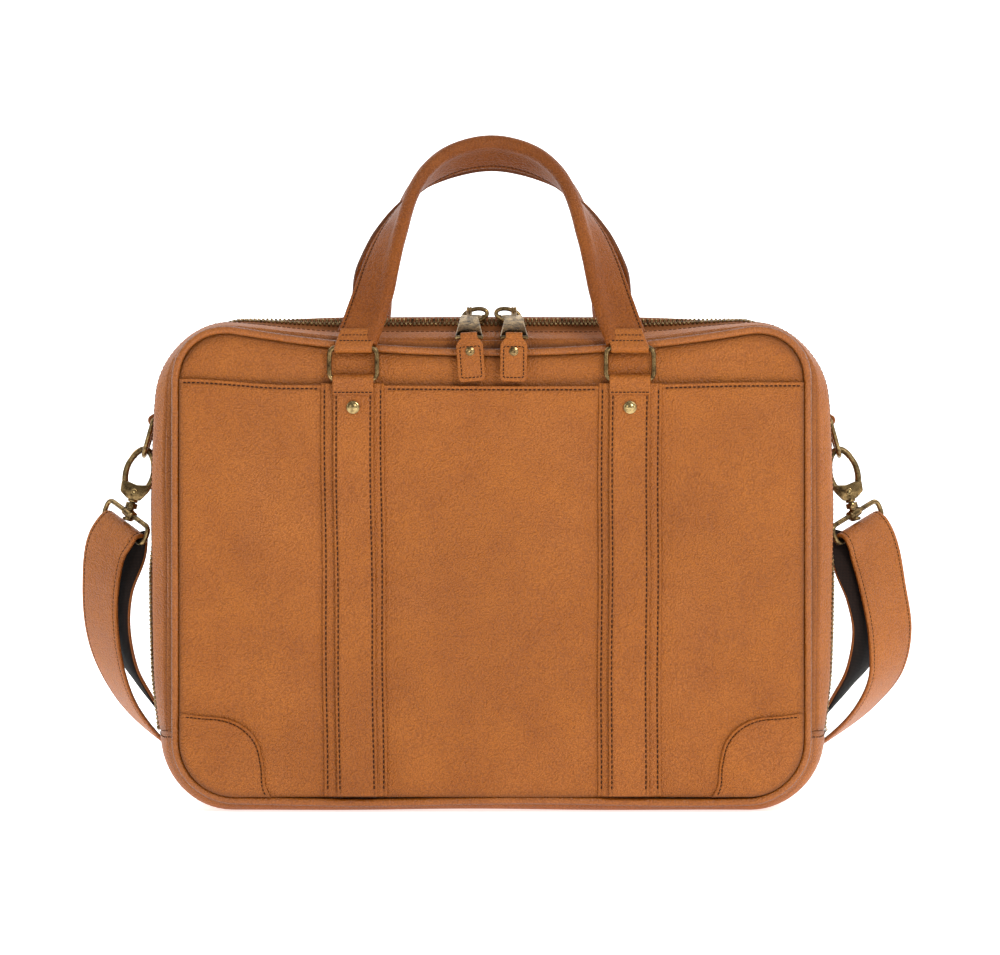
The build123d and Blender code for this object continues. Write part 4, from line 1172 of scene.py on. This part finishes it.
def build_tab(sign, hand):
    """Two-ply leather tab folded round the pull's bar, sewn all round, with a slotted rivet."""
    body = f"tab_{hand}"
    lean = math.radians(4.2 if sign < 0 else -1.0)
    u_axis = np.array([math.cos(lean), 0, math.sin(lean)])
    v_axis = np.array([-math.sin(lean), 0, math.cos(lean)])
    origin = np.array([sign * SLIDER_X, PULL_Y, PULL_Z])
    box_low, box_high = mm_box(f"pull_tab_{hand}")
    low, half = box_low[2] - PULL_Z, (box_high[0] - box_low[0]) / 2
    right = [(5.0, 0.4), (5.0, -0.2), (half, -4.2), (half, low)]
    outline = rounded([(-5.0, 0.4), *right, *[(-u, v) for u, v in right[:0:-1]]],
                      [0.3, 0.3, 0.8, 1.6, 3.4, 3.4, 1.6, 0.8], 6)
    parts = [plate_geometry(outline, slab_profile(thick, 0.55), origin + [0, depth, 0], u_axis, v_axis)
             for depth, thick in ((-1.95, 1.3), (-0.55, 1.5))]
    a = np.linspace(1.15 * math.pi, -0.15 * math.pi, 20)[:, None]
    fold = origin + [0, -1.25, 0] + np.cos(a) * [0, 1.35, 0] + (0.35 + 2.1 * np.sin(a)) * v_axis
    grid = fold[:, None, :] + border_steps(-5.0, 5.0, 8, 0.8)[:, None] * u_axis
    parts.append(sheet_geometry(grid, 1.3, normals_of(grid), False, True)[:2])
    make_piece(f"pull_tab_leather_{hand}", *joined(parts), TAN, body, "leather", (f"pull_tab_{hand}",), sharp=60)
    hem = half - 2.1
    inner = rounded([(-hem, -5.6), (hem, -5.6), (hem, low + 2.3), (-hem, low + 2.3)], 1.4, 4)
    loop = np.vstack([inner, inner[:1]])
    stitch(body, origin + loop[:, :1] * u_axis + loop[:, 1:] * v_axis + [0, -2.62, 0],
           np.tile([0, -1, 0], (len(loop), 1)), pitch=2.3, length=1.8, radius=0.34)
    rivet(f"tab_rivet_head_{hand}", body, origin + v_axis * -8.4 + [0, -2.6, 0], (0, -1, 0), 2.8,
          (f"tab_rivet_{hand}",), slotted=True, height=1.0, mats=BRASS)


# ---- side hardware --------------------------------------------------------------------
SIDE_Y = 15.0
D_BAR = (206.6, 236.0)
HOOK_FOOT = (221.0, 182.5)
HOOK_TILT = math.radians(15.0)
HOOK_PIN = (-0.4, 10.2)


def hook_place(sign, x, z, y=0.0):
    """A point of a hook's own plane; x points towards the bag and z up its post."""
    turn_x = -HOOK_FOOT[0] + x * math.cos(HOOK_TILT) + z * math.sin(HOOK_TILT)
    turn_z = HOOK_FOOT[1] - x * math.sin(HOOK_TILT) + z * math.cos(HOOK_TILT)
    return np.array([-sign * turn_x, SIDE_Y + y, turn_z])


def hook_curve(sign, knots, per_span):
    """Smooth curve through knots of a hook's own plane."""
    return np.array([hook_place(sign, x, z) for x, z in catmull(np.array(knots), per_span)])


def side_tab(sign, hand):
    """Leather tab that holds a D-ring to the side of the bag, sewn along both edges."""
    down = np.array([(201.4, 256.0), (202.3, 250.0), (203.2, 244.0), (204.4, 240.6)])
    arc = [(D_BAR[0] + 2.5 * math.cos(a), D_BAR[1] + 2.5 * math.sin(a)) for a in np.linspace(1.3, -math.pi, 16)]
    x, z = catmull(np.vstack([down, arc, [(203.6, 238.6)]]), 3).T[:, :, None]
    grid = band_grid(sign * x, border_steps(SIDE_Y - 7.4, SIDE_Y + 7.4, 10, 0.8), z)
    sheet(f"d_ring_tab_leather_{hand}", grid, 2.1, "root", stands_for=(f"d_ring_tab_{hand}",), flip=sign < 0)
    x, z = catmull(down, 6).T
    for y in (SIDE_Y - 5.6, SIDE_Y + 5.6):
        stitch("root", band_grid(sign * (x + 0.95), y, z), np.tile([sign, 0, 0.1], (len(x), 1)), pitch=2.3,
               length=1.8, radius=0.32)


def d_ring(sign, hand):
    """D-ring from its straight bar to the round end that the hook holds."""
    bar = np.array([sign * D_BAR[0], SIDE_Y, D_BAR[1]])
    hang = hook_place(sign, -0.4, 32.8) - bar
    height = np.linalg.norm(hang)
    flat = rounded([(-10, 0), (10, 0), (9.6, 0.55 * height), (5.0, height), (-5.0, height), (-9.6, 0.55 * height)],
                   [2.2, 2.2, 7.5, 5.0, 5.0, 7.5], 8)
    flat = even_loop(flat, 0.9)
    path = bar + flat[:, :1] * [0, 1, 0] + flat[:, 1:] * hang / height
    cast(f"d_ring_wire_{hand}", [tube_geometry(path, 1.5, closed=True, sides=16)], f"d_ring_{hand}",
         (f"d_ring_{hand}",))


def snap_hook(sign, hand):
    """Snap hook: a bow on a cast base, the gate's rivet through it, and the gate that closes it."""
    bow = hook_curve(sign, [(4.6, 10.2), (7.4, 16.0), (8.2, 21.5), (7.5, 27.0), (5.2, 32.6), (1.7, 36.3),
                            (-2.2, 36.3), (-5.2, 33.4), (-6.6, 30.6)], 7)
    base = rounded([(-9.6, 15.0), (-5.0, 15.2), (0.0, 14.4), (5.0, 15.6), (9.0, 16.6), (8.2, 12.0), (4.2, 5.2),
                    (-3.8, 5.0), (-9.0, 8.4)], 1.2, 5)
    foot = hook_place(sign, 0, 0)
    axis_x, axis_z = hook_place(sign, 1, 0) - foot, hook_place(sign, 0, 1) - foot
    collar = [(1.6, 5.6), (2.9, 5.3), (3.2, 4.7), (3.2, 4.1), (2.8, 3.6), (1.8, 3.4), (1.8, -0.4), (1.5, -0.6)]
    rims = []
    for side in (-1, 1):
        centre = hook_place(sign, *HOOK_PIN, side * 2.45)
        a = turn(24)[:, None]
        rims.append(tube_geometry(centre + 1.65 * (axis_x * np.cos(a) + axis_z * np.sin(a)), 0.45, closed=True,
                                  sides=10))
        rims.append(lathe([(0.9, -0.3), (0.9, 0.2), (0.6, 0.35), (0.2, 0.4)], centre, (0, side, 0), 18))
    cast(f"hook_rivets_{hand}", rims, f"hook_{hand}", mats=BRIGHT_BRASS)
    parts = [tube_geometry(bow, 1.95 + 0.3 * np.exp(-np.linspace(0, 1, len(bow)) / 0.14), sides=18),
             plate_geometry(base, slab_profile(4.8, 0.7), foot, axis_x, axis_z), lathe(collar, foot, axis_z, 24)]
    cast(f"snap_hook_cast_{hand}", parts, f"hook_{hand}", (f"snap_hook_{hand}",), sharp=42)
    gate = hook_curve(sign, [(-6.4, 12.2), (-7.9, 16.0), (-8.6, 20.5), (-8.3, 25.6), (-6.6, 30.8)], 6)
    parts = [tube_geometry(gate, np.linspace(2.1, 1.75, len(gate)), sides=14),
             lathe([(1.5, -1.2), (1.8, -0.9), (1.8, 0.9), (1.5, 1.2)], hook_place(sign, -5.8, 11.6), (0, 1, 0), 18)]
    cast(f"hook_gate_cast_{hand}", parts, f"gate_{hand}", (f"hook_gate_{hand}",), sharp=42)


def swivel_ring(sign, hand):
    """The strap's ring with its sleeve, and the swivel post up into the hook."""
    top, along, down = strap_ring_axes(sign)
    path = ring_path(STRAP_RING_W, STRAP_RING_H, 3.9, top + down * STRAP_RING_H / 2, along, down)
    end = [(2.0, -5.2), (2.7, -4.6), (2.7, -3.4), (2.4, -3.0), (2.9, -2.6)]
    sleeve = end + [(r, -h) for r, h in reversed(end)]
    post = [(1.6, 3.2), (3.5, 3.0), (3.7, 2.6), (3.7, 0.2), (3.5, -0.2), (2.2, -0.4), (2.2, -6.2), (3.3, -6.4),
            (3.4, -7.6), (2.6, -8.2), (1.2, -8.3)]
    foot = hook_place(sign, 0, 0)
    parts = [tube_geometry(path, 1.55, closed=True, sides=16), lathe(sleeve, top, along, 24),
             lathe(post, foot, hook_place(sign, 0, 1) - foot, 24)]
    cast(f"strap_ring_wire_{hand}", parts, "root", (f"swivel_ring_{hand}",), sharp=42)


# ---- shoulder strap -------------------------------------------------------------------
STRAP_RING_W = 44.6
STRAP_RING_H = 11.6
FOLD_R = 4.3
# Width directions are the x and z parts of a unit vector that points backwards.
BAR_LEFT = (-0.60, 0.40)
BAR_RIGHT = (0.67, 0.38)
# The run outside each ring, down to the floor behind the bag: x, y, z, then the width direction.
RUN_LEFT = (
    (-236, 17.5, 159, -0.64, 0.34), (-240, 20, 133, -0.62, 0.14), (-239.5, 26, 107, -0.56, 0),
    (-235, 35, 84, -0.46, 0), (-225, 47, 61, -0.3, 0), (-207, 68, 39, -0.13, 0), (-184, 77, 25, -0.05, 0),
    (-161, 80, 12.5, 0, 0), (-134, 81, 4.5, 0, 0), (-105, 81, 1.9, 0, 0), (-60, 81, 1.45, 0, 0),
)
RUN_RIGHT = (
    (234, 17.5, 158, 0.77, 0.32), (240.5, 20, 131, 0.76, 0.12), (245, 26, 104, 0.72, 0), (243, 35, 80, 0.56, 0),
    (231, 47, 59, 0.34, 0), (209, 68, 38, 0.14, 0), (186, 77, 25, 0.05, 0), (162, 80, 12.5, 0, 0),
    (134, 81, 4.5, 0, 0), (105, 81, 1.9, 0, 0), (60, 81, 1.45, 0, 0),
)
# The end that comes back from each ring to its slide buckle.
BACK_LEFT = (
    (-223, 18.5, 156, -0.56, 0.34), (-229, 20, 134, -0.5, 0.12), (-230, 27, 112, -0.4, 0),
    (-225, 40, 88, -0.26, 0), (-215, 57, 68, -0.14, 0), (-202, 74, 49, -0.06, 0),
)
BACK_RIGHT = (
    (223, 17, 154, 0.76, 0.32), (230, 20, 131, 0.7, 0.12), (233, 27, 109, 0.58, 0), (228, 41, 86, 0.4, 0),
    (217, 58, 67, 0.2, 0), (204, 74, 49, 0.1, 0),
)


def backward(x, z):
    return np.array([x, math.sqrt(1 - x * x - z * z), z])


def strap_ring_axes(sign):
    """Middle of a strap ring's top bar, the bar's direction and the way the ring hangs."""
    along = backward(*(BAR_LEFT if sign < 0 else BAR_RIGHT))
    down = np.array([sign * 0.28, 0.1, -0.95])
    return hook_place(sign, 0.0, -3.6), along, unit(down - along * down.dot(along))


def strap_side(sign):
    """Strap points and width directions of one side, from its loose end over the ring's bar to the floor."""
    top, along, down = strap_ring_axes(sign)
    bar = top + down * STRAP_RING_H
    out = np.cross(along, down)
    out = out if out[0] * sign > 0 else -out
    back, run = (BACK_LEFT, RUN_LEFT) if sign < 0 else (BACK_RIGHT, RUN_RIGHT)
    fold = [np.hstack([bar + FOLD_R * (out * math.cos(a) - down * math.sin(a)), along])
            for a in np.linspace(math.pi, 0, 7)]
    rows = [[np.hstack([p[:3], backward(*p[3:])]) for p in points] for points in (back[::-1], run)]
    return rows[0] + fold + rows[1]


def strap_curve(knots, per_span):
    """Centripetal curve through unevenly spaced points, carrying the width directions along."""
    knots = np.vstack([2 * knots[0] - knots[1], knots, 2 * knots[-1] - knots[-2]])
    t = np.concatenate([[0], np.cumsum(np.linalg.norm(np.diff(knots[:, :3], axis=0), axis=1) ** 0.5)])

    def between(p, q, i, j, at):
        return ((t[j] - at) * p + (at - t[i]) * q) / (t[j] - t[i])

    rows = []
    for i in range(1, len(knots) - 2):
        for at in np.linspace(t[i], t[i + 1], per_span, endpoint=False):
            a = [between(knots[j], knots[j + 1], j, j + 1, at) for j in (i - 1, i, i + 1)]
            low = between(a[0], a[1], i - 1, i + 1, at)
            high = between(a[1], a[2], i, i + 2, at)
            rows.append(between(low, high, i, i + 1, at))
    rows = np.array(rows + [knots[-2]])
    return rows[:, :3], rows[:, 3:]


def build_strap():
    """Leather-faced webbing strap: both loose ends, the folds over the rings and the run behind the bag."""
    left, right = strap_side(-1), strap_side(1)
    middle = np.array([0, 81.0, 1.45, 0, 1.0, 0])
    path, wide = strap_curve(np.array(left + [middle] + right[::-1]), 9)
    tangent = unit(np.gradient(path, axis=0))
    wide = unit(wide - tangent * (wide * tangent).sum(axis=1, keepdims=True))
    normal = np.cross(wide, tangent)
    top_of_fold = int(np.argmin(np.linalg.norm(path - left[9][:3], axis=1)))
    if normal[top_of_fold][2] < 0:
        normal = -normal
    half = STRAP_W / 2
    border = [(0, 0.1), (0.15, 0.75), (0.7, 1.25), (1.6, 1.42), (2.4, 1.3), (2.8, 1.08), (3.2, 1.3), (4.2, 1.45)]
    face = ([(gap - half, v) for gap, v in border] + [(u, 1.5) for u in np.linspace(7 - half, half - 7, 7)]
            + [(half - gap, v) for gap, v in reversed(border)])
    hem = [(0.2, -0.7), (0.9, -1.15), (1.8, -1.3)]
    web = ([(half - gap, v) for gap, v in hem] + [(u, -1.35) for u in np.linspace(half - 5, 5 - half, 8)]
           + [(gap - half, v) for gap, v in reversed(hem)])
    profile = np.array(face + web)
    verts = path[:, None, :] + wide[:, None, :] * profile[:, :1] + normal[:, None, :] * profile[:, 1:]
    count, m = verts.shape[:2]
    leather_slot, webbing_slot, caps = 0, 1, [0, 0]
    mats = [webbing_slot if len(face) <= j < m - 1 else leather_slot for j in range(m)] * (count - 1) + caps
    darkening = np.zeros((count, m))
    darkening[:, [0, len(face) - 1]] = 0.7
    make_piece("strap_band", verts.reshape(-1, 3), loft_faces(count, m), [TAN, WEBBING], "root", "leather",
               ("shoulder_strap", "strap_return_left", "strap_return_right"), face_mats=mats, edge=darkening.ravel(),
               sharp=60)
    groove = 5
    for column in (groove, len(face) - 1 - groove):
        stitch("root", verts[2:-2, column] + normal[2:-2] * 0.1, normal[2:-2], pitch=2.5, length=1.9)
    for hand, run in (("left", RUN_LEFT), ("right", RUN_RIGHT)):
        slide_buckle(hand, np.array(run[5][:3], dtype=float), np.array(run[6][:3], dtype=float))


def slide_buckle(hand, a, b):
    """Slide buckle lying on the strap halfway between two of its points."""
    tangent = unit(b - a)
    wide = unit([0, 1.0, 0] - tangent * tangent[1])
    normal = np.cross(tangent, wide)
    normal = normal if normal[2] > 0 else -normal
    middle = (a + b) / 2 + normal * 4.0
    rim = ring_path(43.0, 21.0, 3.2, middle, wide, tangent)
    bar = [middle + wide * u for u in (-21, -7, 7, 21)]
    cast(f"slide_buckle_{hand}", [tube_geometry(rim, 1.5, closed=True, sides=14, squash=(normal, 0.75)),
                                  tube_geometry(bar, 1.6, sides=12, squash=(normal, 0.7))],
         "root", (f"strap_slider_{hand}",))


# ---- camera, light and floor --------------------------------------------------------
def build_stage():
    """Pale floor running up into a backdrop that is clear from behind, soft light and the camera."""
    bend, wall_y = 900, 1500
    profile = [(-4000, 0), (wall_y, 0)]
    profile += [(wall_y + bend * math.sin(a), bend - bend * math.cos(a)) for a in np.linspace(0.1, math.pi / 2, 14)]
    profile.append((wall_y + bend, 5000))
    n = len(profile)
    mesh = bpy.data.meshes.new("studio_floor")
    mesh.from_pydata([(x * SCALE, y * SCALE, z * SCALE) for x in (-6000, 6000) for y, z in profile], [],
                     [(i, i + 1, n + i + 1, n + i) for i in range(n - 1)])
    mesh.polygons.foreach_set("use_smooth", [True] * len(mesh.polygons))
    obj = bpy.data.objects.new("studio_floor", mesh)
    bpy.context.scene.collection.objects.link(obj)
    s = Surface("studio_white")
    s.finish(Base_Color=(0.93, 0.93, 0.93), Roughness=0.9, Specular_IOR_Level=0.1, Emission_Color=(1, 1, 1),
             Emission_Strength=0.72)
    choice = s.nodes.new("ShaderNodeMixShader")
    output = next(node for node in s.nodes if node.type == "OUTPUT_MATERIAL")
    s.feed(s.nodes.new("ShaderNodeNewGeometry").outputs["Backfacing"], choice.inputs[0])
    s.feed(s.nodes.new("ShaderNodeBsdfTransparent").outputs[0], choice.inputs[1])
    s.feed(s.shader.outputs[0], choice.inputs[2])
    s.feed(choice.outputs[0], output.inputs["Surface"])
    mesh.materials.append(s.mat)
    world = bpy.data.worlds.new("studio")
    world.use_nodes = True
    background = world.node_tree.nodes["Background"]
    background.inputs["Color"].default_value = (1.0, 0.995, 0.985, 1)
    background.inputs["Strength"].default_value = 0.25
    bpy.context.scene.world = world
    lamp("key", (1.15, -2.2, 1.5), (0.02, 0, 0.18), 0.8, 29.0)
    lamp("front_left", (-1.5, -2.3, 0.9), (0, 0, 0.18), 1.1, 5.5)
    lamp("right_box", (2.1, -1.0, 0.6), (0, 0, 0.18), 1.0, 5.0)
    lamp("top", (0.0, -0.3, 2.2), (0, 0, 0.2), 1.2, 6.0)
    for sign, hand in HANDS:
        lamp(f"backdrop_{hand}", (sign * 1.7, 0.7, 1.9), (0.0, 2.2, 0.4), 1.6, 22.0)
    camera = bpy.data.cameras.new("camera")
    cam = bpy.data.objects.new("camera", camera)
    bpy.context.scene.collection.objects.link(cam)
    distance, width_at_face = 3.0, 0.600
    camera.sensor_width = 36.0
    camera.lens = camera.sensor_width * distance / width_at_face
    cam.location = (0.0051, -POCKET_Y * SCALE - distance, 0.201)
    cam.rotation_euler = (math.radians(90), 0, 0)
    bpy.context.scene.camera = cam
    bpy.context.scene.view_settings.view_transform = "Standard"


def lamp(name, place, target, size, power):
    """A square soft box at a place, turned to a target; both in metres."""
    data = bpy.data.lights.new(name, "AREA")
    data.shape = "SQUARE"
    data.size = size
    data.energy = power
    obj = bpy.data.objects.new(name, data)
    bpy.context.scene.collection.objects.link(obj)
    obj.location = place
    x, y, z = np.array(target) - np.array(place)
    obj.rotation_euler = (math.atan2(math.hypot(x, y), -z), 0, math.atan2(y, x) - math.pi / 2)


build_stage()
build_faces()
build_gussets()
build_piping()
build_zip()
build_inside()
build_handle(-1, "front", wider=0.0, drop=0.0)
build_handle(1, "back", wider=0.09, drop=1.5)
build_rings()
for build in (build_slider, build_puller, build_tab, side_tab, d_ring, snap_hook, swivel_ring):
    for sign, hand in HANDS:
        build(sign, hand)
build_strap()
stitches_done()
